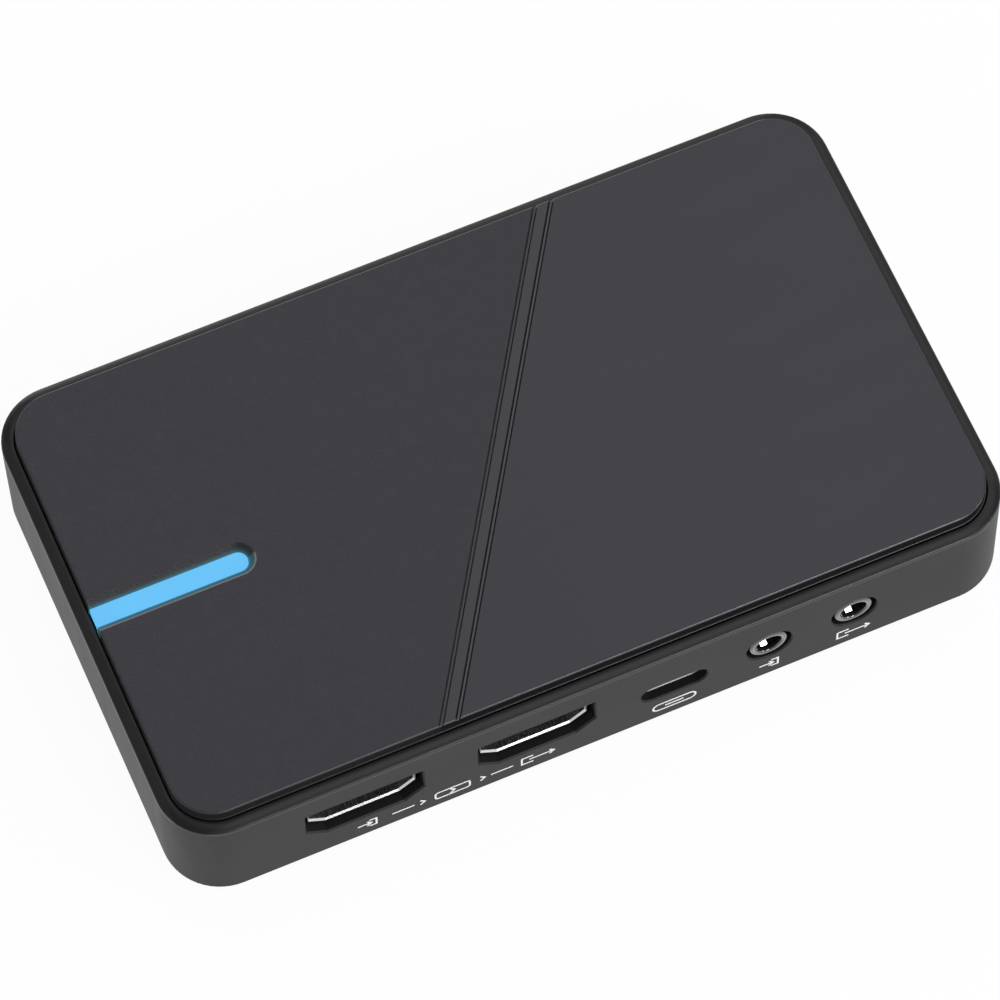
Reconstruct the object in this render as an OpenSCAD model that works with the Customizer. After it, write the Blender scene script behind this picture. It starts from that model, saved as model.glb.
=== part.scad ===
// Video capture box: a flat case of housing and cover, with its sockets along one long side,
// a light bar let into the cover, and one board inside that carries everything.
// Frame: +X to the right along the sockets side, sockets side at -Y, +Z up.
// The feet stand on z = 0. Lengths are in millimetres.

/* [Case] */
// Width along the sockets side
body_w = 117; // [114:0.5:130]
// Depth from the sockets side to the back
body_d = 68.4; // [66:0.2:80]
// Height of the outer wall, underside to the outer edge of the rim
wall_h = 16.95; // [16.4:0.05:20]
// Radius of the four upright corners
corner_r = 7.9; // [6:0.1:10]
// Thickness of the wall, and so the width of the rim
wall_t = 1.75; // [1.5:0.05:2]
// Thickness of the floor
floor_t = 1.6; // [1.4:0.1:2]
// Climb of the rim from its outer to its inner edge
rim_rise = 0.33; // [0.1:0.01:0.6]
// Width of the flat land along the rim's inner edge
rim_land = 0.45; // [0.3:0.05:0.7]
// Rounding of the housing's outer edges
edge_r = 0.3; // [0.2:0.05:0.5]

/* [Cover] */
// Height of the cover's top above the inner edge of the rim
cover_rise = 1.82; // [1.5:0.02:2.2]
// Thickness of the cover's plate
cover_t = 2.4; // [2.3:0.1:3]
// Gap between the cover and the wall around it
cover_gap = 0.15; // [0.1:0.01:0.3]
// Width of the rounded ledge around the cover's foot
ledge_w = 0.1; // [0.06:0.01:0.2]
// Lean of the cover's side between its ledge and its top
cover_lean = 0.02; // [0:0.01:0.2]
// Rounding of the cover's top edge
cover_edge_r = 0.25; // [0.2:0.05:0.6]
// Slant of the band from the depth direction, in degrees
band_angle = 32.4; // [25:0.2:38]
// Distance between the band's two grooves
band_w = 1.98; // [1.4:0.02:4]
// Place of the band along the width, at mid depth
band_x = -0.23; // [-8:0.01:14]
// Width of a groove at the cover's top
groove_w = 0.7; // [0.4:0.05:1]
// Width of a groove's flat floor
groove_floor = 0.26; // [0.1:0.02:0.36]
// Depth of a groove
groove_h = 0.3; // [0.2:0.05:0.6]

/* [Light bar] */
// Length of the trough from the cover's left side
trough_len = 22.4; // [18:0.2:27]
// Width of the trough at the cover's top
trough_w = 4.65; // [4.2:0.05:5.4]
// Depth of the trough
trough_h = 1; // [0.7:0.05:1.2]
// Width of the lit bar
bar_w = 2.75; // [2.2:0.05:3.2]
// Gap around the bar in its slot
bar_gap = 0.05; // [0.03:0.01:0.1]
// Thickness of the flange that holds the bar under the cover
flange_t = 1; // [0.8:0.1:1.4]
// Reach of the flange past the bar's sides
flange_reach = 1.2; // [1:0.1:1.6]
// Thickness of the shroud's walls
shroud_t = 0.8; // [0.6:0.1:1]

/* [Feet and screws] */
// Diameter of a foot
foot_d = 9; // [8:0.2:10]
// Height of a foot below the case
foot_proud = 0.8; // [0.5:0.1:1.5]
// Depth of a foot's recess in the floor
foot_seat = 0.8; // [0.6:0.05:0.9]
// Distance of a foot's centre from the left and right sides
foot_in_x = 9.5; // [9:0.1:11]
// Distance of a foot's centre from the front and back sides
foot_in_y = 8.5; // [8:0.1:10]
// Diameter of a screw's shank
screw_d = 2; // [1.8:0.1:2.2]
// Length of a screw's shank
screw_len = 10; // [8:0.5:12]
// Diameter of a screw's head
screw_head_d = 3.8; // [3.4:0.1:4]
// Height of a screw's head
screw_head_h = 1.2; // [1:0.1:1.3]

/* [Board] */
// Thickness of the board
board_t = 1.6; // [1.2:0.1:1.6]
// Height of the board's underside above the floor
board_rise = 2.75; // [2.5:0.05:3.2]
// Gap between the board and the wall
board_gap = 0.85; // [0.6:0.05:1.2]

/* [Plug sockets] */
// Recess of the metal shells behind the wall's outer face
shell_recess = 1.3; // [1.1:0.05:1.6]

/* [Video sockets] */
// centre of the video input from the left side
video_in_x = 25.1; // [24:0.1:27.5]
// Place of the output socket along the width
video_out_x = -9.5; // [-12:0.1:-9]
// Width of a socket's shell
video_w = 15; // [14.6:0.1:15.4]
// Height of a socket's shell
video_h = 5.55; // [5.3:0.05:5.8]
// Width of the shell's flat bottom, between its cut corners
video_flat = 10.3; // [9.8:0.1:10.8]
// Height of the cut corners
video_cut = 1.7; // [1.4:0.1:2]
// Length of the shell
video_len = 11; // [10:0.5:13]
// Gap between the shell and its cut-out in the wall
video_clear = 0.62; // [0.4:0.02:0.8]

/* [Data socket] */
// Place of the socket along the width
data_x = 9.75; // [8:0.05:11]
// Width of the shell
data_w = 8.94; // [8.8:0.02:9.1]
// Height of the shell
data_h = 3.16; // [3.1:0.02:3.3]
// Length of the shell
data_len = 7.6; // [7:0.2:9]
// Gap between the shell and its cut-out in the wall
data_clear = 0.2; // [0.15:0.01:0.3]

/* [Audio sockets] */
// Place of the input socket along the width
audio_in_x = 23.15; // [22:0.05:24.5]
// Place of the output socket along the width
audio_out_x = 35.2; // [34:0.05:36.5]
// Diameter of the bore
jack_bore_d = 3.6; // [3.55:0.01:3.65]
// Diameter of the barrel in the wall
jack_barrel_d = 5.5; // [5.3:0.1:5.8]
// Rounding of the barrel's outer edge
barrel_round = 0.45; // [0.2:0.05:0.5]
// Rounding of the bore's mouth
jack_lead = 0.3; // [0.15:0.05:0.3]
// Gap between the barrel and its hole in the wall
jack_clear = 0.45; // [0.3:0.05:0.6]
// Width of the body
jack_w = 6; // [5.8:0.1:6.6]
// Height of the body
jack_h = 5; // [4.9:0.1:5.6]
// Height of the bore's centre above the board
jack_z = 2.5; // [2.45:0.05:2.6]
// Length of the bore
jack_len = 14.4; // [14.2:0.1:15]
// Reach of a leaf contact into the bore
leaf_reach = 0.35; // [0.25:0.05:0.4]
// Thickness of a leaf contact
leaf_t = 0.2; // [0.16:0.02:0.22]
// Width of a leaf contact
leaf_w = 0.9; // [0.8:0.05:1]

/* [Heat sink] */
// Side of the capture processor's package
chip_w = 17; // [15:0.5:19]
// Side of the heat sink
sink_w = 28; // [24:0.5:30]
// Thickness of the heat sink's base
sink_base = 1.5; // [1.2:0.1:2]
// Number of fins
fins = 9; // [5:1:10]
// Thickness of a fin
fin_t = 1; // [0.8:0.1:1.2]

/* [Hidden] */
$fn = 64;

// Overlap that joins the shapes of one piece, and overrun of a cutting shape
join = 0.05;
over = 0.5;

// Heights of the case
base_z = foot_proud;
floor_z = base_z + floor_t;
rim_out_z = base_z + wall_h;
rim_in_z = rim_out_z + rim_rise;
cover_top = rim_in_z + cover_rise;
cover_under = cover_top - cover_t;

// Heights of the board
board_under = floor_z + board_rise;
board_top = board_under + board_t;

// Outlines
front_y = -body_d / 2;
cover_in = wall_t + cover_gap;
cover_w = body_w - 2 * cover_in;
cover_d = body_d - 2 * cover_in;
cover_r = corner_r - cover_in;
cover_left = -cover_w / 2;
board_w = body_w - 2 * (wall_t + board_gap);
video_in_at = video_in_x - body_w / 2;
board_d = body_d - 2 * (wall_t + board_gap);
board_r = corner_r - wall_t - board_gap;
board_front = -board_d / 2;

// Rim: a flat land, then an arc that falls to a rounding at the wall's outer face
rim_break = 0.1;
rim_top = wall_h + rim_rise;
rim_run = wall_t - rim_land;
rim_arc_r = (rim_run * rim_run + rim_rise * rim_rise) / (2 * rim_rise);
rim_arc_z = rim_top - rim_arc_r;
edge_run = rim_run - edge_r;
edge_fall = sqrt(pow(rim_arc_r - edge_r, 2) - edge_run * edge_run);
edge_z = rim_arc_z + edge_fall;
touch = rim_arc_r / (rim_arc_r - edge_r) * [-edge_run, edge_fall] + [rim_run, rim_arc_z];

// Cover's border: a ledge that stands a little above the rim, then the side and its rounding
ledge_rise = 0.1;
ledge_h = cover_t - cover_rise + ledge_rise;
cover_border = 2;
cover_lap = 0.5;
cover_skirt = ledge_w + cover_lean + cover_edge_r + cover_border;
side_lean = cover_lean / (cover_t - ledge_h);
side_len = sqrt(1 + side_lean * side_lean);
side_arc_x = ledge_w + side_lean * (cover_t - ledge_h - cover_edge_r) + cover_edge_r * side_len;

// Feet, screws and the posts they hold, one at each corner
foot_x = body_w / 2 - foot_in_x;
foot_y = body_d / 2 - foot_in_y;
corners = [[-1, -1], [1, -1], [-1, 1], [1, 1]];
foot_fit = 0.15;
foot_bevel = 0.3;
screw_fit = 0.2;
head_room = 0.3;
head_seat_z = base_z + foot_seat + screw_head_h + head_room;
cross_w = 0.5;
cross_len = 2.3;
cross_h = 0.7;
tip_r = 0.2;
boss_wall = 1.3;
boss_r = screw_head_d / 2 + boss_wall;
post_r = 2.6;
pilot_gap = 0.05;
pilot_spare = 1;
pilot_skin = 0.5;
pilot_top = min(head_seat_z + screw_len + pilot_spare, cover_under - pilot_skin);

// Two rests below the board, near its back edge
rest_r = 1.6;
rest_x = 25;
rest_in = 8;

// Vent slots in the floor, below the processor
vent_w = 1.8;
vent_len = 20;
vent_pitch = 4.2;
vents = 9;

// Light bar
trough_end = cover_left + trough_len - trough_w / 2;
bar_top = cover_top - trough_h;
bar_inset = 0.02;
bar_left = cover_left + ledge_w + cover_lean + bar_inset;
flange_in = 1.4;
flange_left = cover_left + flange_in;
flange_right = trough_end + bar_w / 2 + flange_reach;
flange_w = bar_w + 2 * flange_reach;
shroud_top = cover_under - flange_t;
lamp_w = 3;
lamp_d = 1.6;
lamp_h = 0.65;
lens_h = 0.45;
lens_r = 0.65;
lens_top_r = 0.45;
lamps = 3;

// Sockets: where their shells start, and how far they stand off the board
shell_y = front_y + shell_recess;
metal_t = 0.3;
shell_lead = 0.2;
video_lift = 0.2;
data_lift = 0.2;
hole_bevel = 0.2;

// Video socket: legs, tongue and contacts
leg_w = 1.2;
leg_out = 0.5;
leg_fit = 0.1;
leg_lap = 1;
leg_front = 2.2;
leg_back = 2.2;
video_legs = [leg_front, video_len - leg_back - leg_w];
finger_x = 2.9;
finger_y = 1.6;
finger_w = 2.4;
finger_len = 5;
finger_slit = 0.3;
video_tongue_w = 11.8;
video_tongue_t = 1.3;
video_tongue_drop = 0.25;
video_tongue_z = video_lift + video_h / 2 - video_tongue_drop;
video_tongue_y = 2.7;
video_block = 4;
video_back = 1.6;
video_pins = 10;
video_pitch = 1;
pin_t = 0.15;
pin_foot = 0.9;
video_pin_w = 0.3;
video_pin_y = video_tongue_y + 0.6;

// Data socket: legs, tongue and contacts
data_leg_front = 1.9;
data_leg_back = 1.4;
data_legs = [data_leg_front, data_len - data_leg_back - leg_w];
data_tongue_w = 6.69;
data_tongue_t = 0.7;
data_tongue_y = 1.1;
data_block = 2.2;
data_back = 1.2;
data_pins = 12;
data_pitch = 0.5;
data_pin_w = 0.25;
data_pin_y = data_tongue_y + 0.4;
data_row_step = 0.7;
data_fit = 0.03;
data_mid_z = data_lift + data_h / 2;
data_block_w = data_w - 2 * metal_t - 2 * data_fit;

// Audio socket: depths are counted from the front of its barrel
jack_recess = 0.2;
jack_front = front_y + jack_recess;
wall_play = 0.15;
jack_body_y = wall_t + wall_play - jack_recess;
jack_back = 0.5;
collar_len = 0.35;
collar_end = jack_lead + collar_len;
bore_relief = 0.25;
bore_r = jack_bore_d / 2;
barrel_r = jack_barrel_d / 2;
relief_r = bore_r + bore_relief;
bore_floor = jack_z - bore_r;
slot_play = 0.15;
leaf_slot = leaf_w + 2 * slot_play;
leaf_gap = 0.05;
leaf_root_x = bore_r + 0.95;
leaf_tip_x = bore_r - leaf_reach + leaf_t / 2;
leaf_arm = 2.6;
leaf_lip = [0.4, 0.9];
window_play = 0.3;
tail_len = 0.75;
tail_t = 0.2;
outer_ring_y = 3.7;
inner_ring_y = 6.7;
tip_y = 9.6;
sleeve_x = -0.25;
sleeve_root = [4.35, 0.3];
sleeve_bump = [1.45, bore_floor + leaf_reach - leaf_t / 2];
lip_gap = 0.2;
lip_drop = 0.08;
sleeve_lip = [collar_end + lip_gap, bore_floor - lip_drop];

// Heat sink and the processor below it
chip_x = 0;
chip_y = 6;
chip_h = 1.3;
chip_base = 0.5;
chip_step = 0.6;
pad_t = 0.5;
sink_z = board_top + chip_h + pad_t;
sink_room = 1.2;
fin_top = cover_under - sink_room;

// Packages: width, depth and height, and a dot sunk near one corner
dot_in = 1;
dot_r = 0.35;
dot_h = 0.1;
memory = [9, 13, 1.1];
memory_in = 22;
memory_x = chip_x + memory_in;
memory_gap = 2;
flash = [5, 4, 1.5];
flash_in = 17.9;
flash_at = [board_w / 2 - flash_in, 10];
flash_lift = 0.1;
flash_leads = 4;
lead_pitch = 1.27;
lead_w = 0.4;
lead_t = 0.25;
lead_in = 0.2;
lead_out = 1;
receiver = [9, 9, 0.9];
receiver_at = [video_in_at, -10];
repeater = [7, 7, 0.9];
repeater_in = 9;
repeater_at = [video_out_x - repeater_in, 4];
bridge = [6, 6, 0.9];
bridge_at = [data_x + 1, -15];
codec = [5, 5, 0.85];
codec_at = [(audio_in_x + audio_out_x) / 2, -12];

// Small parts of the board
crystal_w = 3.2;
crystal_d = 2.5;
crystal_base = 0.6;
crystal_lid = 0.2;
crystal_step = 0.2;
crystal_spots = [[-26, -2], [20, -14]];
coil_w = 5;
coil_h = 2.7;
coil_r = 0.6;
coil_foot_w = 5.2;
coil_foot_d = 3;
coil_foot_h = 0.3;
coils = 3;
coil_pitch = 8;
coil_in = 13.9;
coil_first = [coil_in - board_w / 2, 14];
can_r = 2.5;
can_h = 4.5;
can_seat_w = 5.3;
can_seat_h = 0.9;
can_seat_r = 0.5;
cans = 3;
can_pitch = 8;
can_in = 9.9;
can_first = [board_w / 2 - can_in, -4];
ceramic_w = 1.6;
ceramic_d = 0.8;
ceramic_h = 0.8;

// Rows of chip capacitors: first place, step to the next, and count
ceramic_rows = [[[-42, 20], [4, 0], 5], [[-40, 3], [3, 0], 3], [[29, -20], [0, 2.5], 2],
                [[31.5, 4], [0, 3], 3], [[38, -3], [0, 3], 2]];

// Shapes shared by the pieces below

// Rectangle with rounded corners, from plain squares and circles
module rounded_rect(w, d, r) {
    square([w - 2 * r, d], center = true);
    square([w, d - 2 * r], center = true);
    for (sx = [-1, 1], sy = [-1, 1])
        translate([sx * (w / 2 - r), sy * (d / 2 - r)])
            circle(r);
}

// Flat oval: a square between two half circles
module oval(w, h) {
    square([w - h, h], center = true);
    for (s = [-1, 1])
        translate([s * (w - h) / 2, 0])
            circle(d = h);
}

// One straight side of an outline: the profile's x runs inward, its y is height
module straight_side(len, off)
    translate([-len / 2, -off, 0])
        rotate([90, 0, 90])
            linear_extrude(len)
                children();

// A profile carried around a rectangle with rounded corners
module around(w, d, r) {
    for (q = [[1, 1, 0], [-1, 1, 90], [-1, -1, 180], [1, -1, 270]])
        translate([q[0] * (w / 2 - r), q[1] * (d / 2 - r), 0])
            rotate([0, 0, q[2]])
                rotate_extrude(angle = 90)
                    translate([r, 0])
                        mirror([1, 0])
                            children();
    for (a = [0, 180])
        rotate([0, 0, a])
            straight_side(w - 2 * r, d / 2)
                children();
    for (a = [90, -90])
        rotate([0, 0, a])
            straight_side(d - 2 * r, w / 2)
                children();
}

// A profile in x and z, carried along y
module along_y(from, len)
    translate([0, from + len, 0])
        rotate([90, 0, 0])
            linear_extrude(len)
                children();

// A profile in y and z, carried across x
module across_x(w)
    translate([-w / 2, 0, 0])
        rotate([90, 0, 90])
            linear_extrude(w)
                children();

// A round hole or pin along y
module round_y(from, len, r1, r2)
    translate([0, from, 0])
        rotate([-90, 0, 0])
            cylinder(h = len, r1 = r1, r2 = r2);

// Housing

// The wall's section: the rim's arc ends where it touches the rounding at the outer face
module wall_profile() {
    polygon([[edge_r, 0],
             [wall_t, 0],
             [wall_t, rim_top - rim_break],
             [wall_t - rim_break, rim_top],
             [rim_run, rim_top],
             touch,
             [0, edge_z],
             [0, edge_r]]);
    intersection() {
        translate([rim_run, rim_arc_z])
            circle(rim_arc_r);
        translate([touch[0], edge_z])
            square([rim_run - touch[0], rim_top - edge_z + over]);
    }
    translate([edge_r, edge_z])
        circle(edge_r);
    translate([edge_r, edge_r])
        circle(edge_r);
}

// Outline of a video socket's shell, moved in by i, or out by a negative i
video_side = (video_w - video_flat) / 2;
video_slope = sqrt(video_side * video_side + video_cut * video_cut);

function video_outline(i) =
    let (x = video_w / 2 - i,
         z_cut = video_lift + video_cut + i * (video_slope - video_cut) / video_side,
         x_flat = video_flat / 2 - i * (video_slope - video_side) / video_cut,
         z_low = video_lift + i,
         z_high = video_lift + video_h - i)
    [[-x_flat, z_low], [x_flat, z_low], [x, z_cut], [x, z_high], [-x, z_high], [-x, z_cut]];

// Bevel b around a mouth of the outline moved in by i, which narrows from a face at y = 0
module video_bevel(i, b)
    hull() {
        along_y(-2 * join, join)
            polygon(video_outline(i - b - join));
        along_y(b, join)
            polygon(video_outline(i));
    }

// Bevel b around an oval mouth, which narrows from a face at y = 0
module oval_bevel(w, h, b) {
    for (s = [-1, 1])
        translate([s * (w - h) / 2, 0, 0])
            round_y(-join, b + join, h / 2 + b + join, h / 2);
    across_x(w - h)
        polygon([[-join, -h / 2 - b - join],
                 [b, -h / 2],
                 [b, h / 2],
                 [-join, h / 2 + b + join]]);
}

// Cut-out for a video socket, with a bevelled mouth
module video_hole(x) {
    translate([x, front_y, board_top]) {
        along_y(-over, wall_t + 2 * over)
            polygon(video_outline(-video_clear));
        video_bevel(-video_clear, hole_bevel);
    }
}

// Cut-out for the data socket, with a bevelled mouth
module data_hole() {
    w = data_w + 2 * data_clear;
    h = data_h + 2 * data_clear;
    translate([data_x, front_y, board_top + data_mid_z]) {
        along_y(-over, wall_t + 2 * over)
            oval(w, h);
        oval_bevel(w, h, hole_bevel);
    }
}

// Hole for an audio socket's barrel, with a bevelled mouth
module audio_hole(x) {
    r = barrel_r + jack_clear;
    translate([x, front_y, board_top + jack_z]) {
        round_y(-over, wall_t + 2 * over, r, r);
        round_y(-join, hole_bevel + join, r + hole_bevel + join, r);
    }
}

// Long slots through the floor
module vent_slots()
    for (i = [0:vents - 1])
        translate([chip_x + (i - (vents - 1) / 2) * vent_pitch, chip_y, base_z - over])
            linear_extrude(floor_t + 2 * over)
                rotate(90)
                    oval(vent_len, vent_w);

module housing()
    color([0.13, 0.13, 0.14])
        difference() {
            union() {
                translate([0, 0, base_z])
                    around(body_w, body_d, corner_r)
                        wall_profile();
                translate([0, 0, base_z])
                    linear_extrude(floor_t)
                        rounded_rect(body_w - wall_t, body_d - wall_t, corner_r - wall_t / 2);
                for (c = corners)
                    translate([c[0] * foot_x, c[1] * foot_y, floor_z - join])
                        cylinder(h = board_rise + join, r = boss_r);
                for (s = [-1, 1])
                    translate([s * rest_x, board_d / 2 - rest_in, floor_z - join])
                        cylinder(h = board_rise + join, r = rest_r);
            }
            for (c = corners)
                translate([c[0] * foot_x, c[1] * foot_y, base_z]) {
                    translate([0, 0, -over])
                        cylinder(h = foot_seat + over, r = foot_d / 2 + foot_fit);
                    cylinder(h = head_seat_z - base_z, r = screw_head_d / 2 + screw_fit);
                    cylinder(h = board_under - base_z + over, r = screw_d / 2 + screw_fit);
                }
            video_hole(video_in_at);
            video_hole(video_out_x);
            data_hole();
            audio_hole(audio_in_x);
            audio_hole(audio_out_x);
            vent_slots();
        }

// Cover

// The border's section: a rounded ledge, a side that leans in a little, and a rounded top edge
module cover_profile() {
    arc_z = cover_t - cover_edge_r;
    polygon([[0, 0],
             [cover_skirt, 0],
             [cover_skirt, cover_t],
             [side_arc_x, cover_t],
             [side_arc_x - cover_edge_r / side_len, arc_z + cover_edge_r * side_lean / side_len],
             [ledge_w, ledge_h],
             [0, ledge_h - ledge_w]]);
    translate([side_arc_x, arc_z])
        circle(cover_edge_r);
    translate([ledge_w, ledge_h - ledge_w])
        circle(ledge_w);
}

// A groove runs right across, through both long edges
module groove(shift) {
    run = body_d / cos(band_angle) + (band_w + groove_w) * tan(band_angle);
    translate([band_x, 0, cover_top])
        rotate([0, 0, -band_angle])
            translate([shift, run / 2, 0])
                rotate([90, 0, 0])
                    linear_extrude(run)
                        polygon([[-groove_w / 2, 0],
                                 [-groove_w / 2, over],
                                 [groove_w / 2, over],
                                 [groove_w / 2, 0],
                                 [groove_floor / 2, -groove_h],
                                 [-groove_floor / 2, -groove_h]]);
}

// Bevelled trough with a round end, and the slot for the bar at its bottom
module trough() {
    slot_r = bar_w / 2 + bar_gap;
    lean = (trough_w / 2 - slot_r) / trough_h;
    top_r = trough_w / 2 + lean * join;
    translate([trough_end, 0, bar_top])
        cylinder(h = trough_h + join, r1 = slot_r, r2 = top_r);
    translate([(cover_left - over + trough_end) / 2, 0, bar_top])
        across_x(trough_end - cover_left + over)
            polygon([[-slot_r, 0], [slot_r, 0], [top_r, trough_h + join], [-top_r, trough_h + join]]);
    translate([0, 0, cover_under - over])
        linear_extrude(cover_t - trough_h + over + join) {
            translate([trough_end, 0])
                circle(slot_r);
            translate([cover_left - over, -slot_r])
                square([trough_end - cover_left + over, 2 * slot_r]);
        }
}

module top_cover()
    color([0.16, 0.16, 0.17])
        difference() {
            union() {
                translate([0, 0, cover_under]) {
                    around(cover_w, cover_d, cover_r)
                        cover_profile();
                    linear_extrude(cover_t)
                        rounded_rect(cover_w - 2 * (cover_skirt - cover_lap),
                                     cover_d - 2 * (cover_skirt - cover_lap),
                                     cover_r - cover_skirt + cover_lap);
                }
                for (c = corners)
                    translate([c[0] * foot_x, c[1] * foot_y, board_top])
                        cylinder(h = cover_under - board_top + join, r = post_r);
            }
            groove(-band_w / 2);
            groove(band_w / 2);
            trough();
            for (c = corners)
                translate([c[0] * foot_x, c[1] * foot_y, board_top - over])
                    cylinder(h = pilot_top - board_top + over, r = screw_d / 2 + pilot_gap);
        }

// Light bar, its shroud and the lamps

module light_bar()
    color([0.45, 0.78, 1])
        union() {
            translate([0, 0, cover_under - join])
                linear_extrude(bar_top - cover_under + join) {
                    translate([trough_end, 0])
                        circle(bar_w / 2);
                    translate([bar_left, -bar_w / 2])
                        square([trough_end - bar_left, bar_w]);
                }
            translate([flange_left, -flange_w / 2, shroud_top])
                cube([flange_right - flange_left, flange_w, flange_t]);
        }

module light_shroud()
    color([0.92, 0.92, 0.9])
        difference() {
            translate([flange_left, -flange_w / 2, board_top])
                cube([flange_right - flange_left, flange_w, shroud_top - board_top]);
            translate([flange_left + shroud_t, -flange_w / 2 + shroud_t, board_top - over])
                cube([flange_right - flange_left - 2 * shroud_t, flange_w - 2 * shroud_t,
                      shroud_top - board_top + 2 * over]);
        }

module status_lamps()
    color([0.95, 0.93, 0.75])
        for (i = [0:lamps - 1])
            translate([flange_left + (i + 0.5) * (flange_right - flange_left) / lamps, 0, board_top]) {
                translate([-lamp_w / 2, -lamp_d / 2, 0])
                    cube([lamp_w, lamp_d, lamp_h]);
                translate([0, 0, lamp_h - join])
                    cylinder(h = lens_h + join, r1 = lens_r, r2 = lens_top_r);
            }

// Feet and screws

module foot(c)
    color([0.07, 0.07, 0.07])
        translate([c[0] * foot_x, c[1] * foot_y, 0]) {
            cylinder(h = foot_bevel, r1 = foot_d / 2 - foot_bevel, r2 = foot_d / 2);
            translate([0, 0, foot_bevel])
                cylinder(h = foot_proud + foot_seat - foot_bevel, r = foot_d / 2);
        }

module foot_front_left()
    foot(corners[0]);

module foot_front_right()
    foot(corners[1]);

module foot_back_left()
    foot(corners[2]);

module foot_back_right()
    foot(corners[3]);

module case_screws()
    color([0.7, 0.7, 0.72])
        for (c = corners)
            translate([c[0] * foot_x, c[1] * foot_y, head_seat_z])
                difference() {
                    union() {
                        translate([0, 0, -screw_head_h])
                            cylinder(h = screw_head_h, r = screw_head_d / 2);
                        translate([0, 0, -join])
                            cylinder(h = screw_len - screw_d / 2 + join, r = screw_d / 2);
                        translate([0, 0, screw_len - screw_d / 2])
                            cylinder(h = screw_d / 2, r1 = screw_d / 2, r2 = tip_r);
                    }
                    for (a = [0, 90])
                        rotate([0, 0, a])
                            translate([-cross_len / 2, -cross_w / 2, -screw_head_h - join])
                                cube([cross_len, cross_w, cross_h + join]);
                }

// Board, with the screw holes and the slots for the shells' legs

module leg_slots(x, half, spots)
    for (s = [-1, 1], y = spots)
        translate([x + s * (half - metal_t / 2), shell_y + y + leg_w / 2, board_under - over])
            translate([-metal_t / 2 - leg_fit, -leg_w / 2 - leg_fit, 0])
                cube([metal_t + 2 * leg_fit, leg_w + 2 * leg_fit, board_t + 2 * over]);

module main_board()
    color([0.05, 0.22, 0.12])
        difference() {
            translate([0, 0, board_under])
                linear_extrude(board_t)
                    rounded_rect(board_w, board_d, board_r);
            for (c = corners)
                translate([c[0] * foot_x, c[1] * foot_y, board_under - over])
                    cylinder(h = board_t + 2 * over, r = screw_d / 2 + screw_fit);
            leg_slots(video_in_at, video_w / 2, video_legs);
            leg_slots(video_out_x, video_w / 2, video_legs);
            leg_slots(data_x, data_w / 2, data_legs);
        }

// Video sockets

// Two sprung fingers are cut free in the shell's floor and in its roof
module finger_slits(z)
    for (s = [-1, 1])
        translate([s * finger_x, finger_y, z - metal_t]) {
            for (t = [-1, 1])
                translate([(t * finger_w - finger_slit) / 2, 0, 0])
                    cube([finger_slit, finger_len, 3 * metal_t]);
            translate([-finger_w / 2, finger_len - finger_slit, 0])
                cube([finger_w, finger_slit, 3 * metal_t]);
        }

module video_shell(x)
    color([0.75, 0.75, 0.77])
        translate([x, shell_y, board_top])
            difference() {
                union() {
                    along_y(0, video_len)
                        polygon(video_outline(0));
                    for (s = [-1, 1], y = video_legs)
                        translate([s * (video_w - metal_t) / 2 - metal_t / 2, y, -board_t - leg_out])
                            cube([metal_t, leg_w, board_t + leg_out + video_lift + video_cut + leg_lap]);
                }
                along_y(-over, video_len + 2 * over)
                    polygon(video_outline(metal_t));
                video_bevel(metal_t, shell_lead);
                finger_slits(video_lift);
                finger_slits(video_lift + video_h - metal_t);
            }

// Contacts lie in the faces of the tongue and run down behind its block to the board
module video_pin_row(count, z, w)
    for (i = [0:count - 1])
        translate([(i - (count - 1) / 2) * video_pitch, 0, 0])
            across_x(w)
                polygon([[video_pin_y, z],
                         [video_len + video_back, z],
                         [video_len + video_back, 0],
                         [video_len + video_back + pin_foot, 0],
                         [video_len + video_back + pin_foot, pin_t],
                         [video_len + video_back + pin_t, pin_t],
                         [video_len + video_back + pin_t, z + pin_t],
                         [video_pin_y, z + pin_t]]);

module video_pins_all() {
    video_pin_row(video_pins, video_tongue_z + video_tongue_t - pin_t, video_pin_w);
    video_pin_row(video_pins - 1, video_tongue_z, video_pin_w);
}

module video_tongue(x)
    color([0.06, 0.06, 0.06])
        translate([x, shell_y, board_top])
            difference() {
                union() {
                    along_y(video_len - video_block, video_block + join)
                        polygon(video_outline(metal_t));
                    translate([-video_w / 2 + metal_t, video_len, 0])
                        cube([video_w - 2 * metal_t, video_back, video_lift + video_h - metal_t]);
                    translate([-video_tongue_w / 2, video_tongue_y, video_tongue_z])
                        cube([video_tongue_w, video_len - video_tongue_y, video_tongue_t]);
                }
                video_pins_all();
            }

module video_contacts(x)
    color([0.85, 0.68, 0.3])
        translate([x, shell_y, board_top])
            video_pins_all();

module video_in_shell()
    video_shell(video_in_at);

module video_in_tongue()
    video_tongue(video_in_at);

module video_in_contacts()
    video_contacts(video_in_at);

module video_out_shell()
    video_shell(video_out_x);

module video_out_tongue()
    video_tongue(video_out_x);

module video_out_contacts()
    video_contacts(video_out_x);

// Data socket

module data_shell()
    color([0.75, 0.75, 0.77])
        translate([data_x, shell_y, board_top])
            difference() {
                union() {
                    translate([0, 0, data_mid_z])
                        along_y(0, data_len)
                            oval(data_w, data_h);
                    for (s = [-1, 1], y = data_legs)
                        translate([s * (data_w - metal_t) / 2 - metal_t / 2, y, -board_t - leg_out])
                            cube([metal_t, leg_w, board_t + leg_out + data_mid_z]);
                }
                translate([0, 0, data_mid_z]) {
                    along_y(-over, data_len + 2 * over)
                        oval(data_w - 2 * metal_t, data_h - 2 * metal_t);
                    oval_bevel(data_w - 2 * metal_t, data_h - 2 * metal_t, shell_lead);
                }
            }

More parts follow.
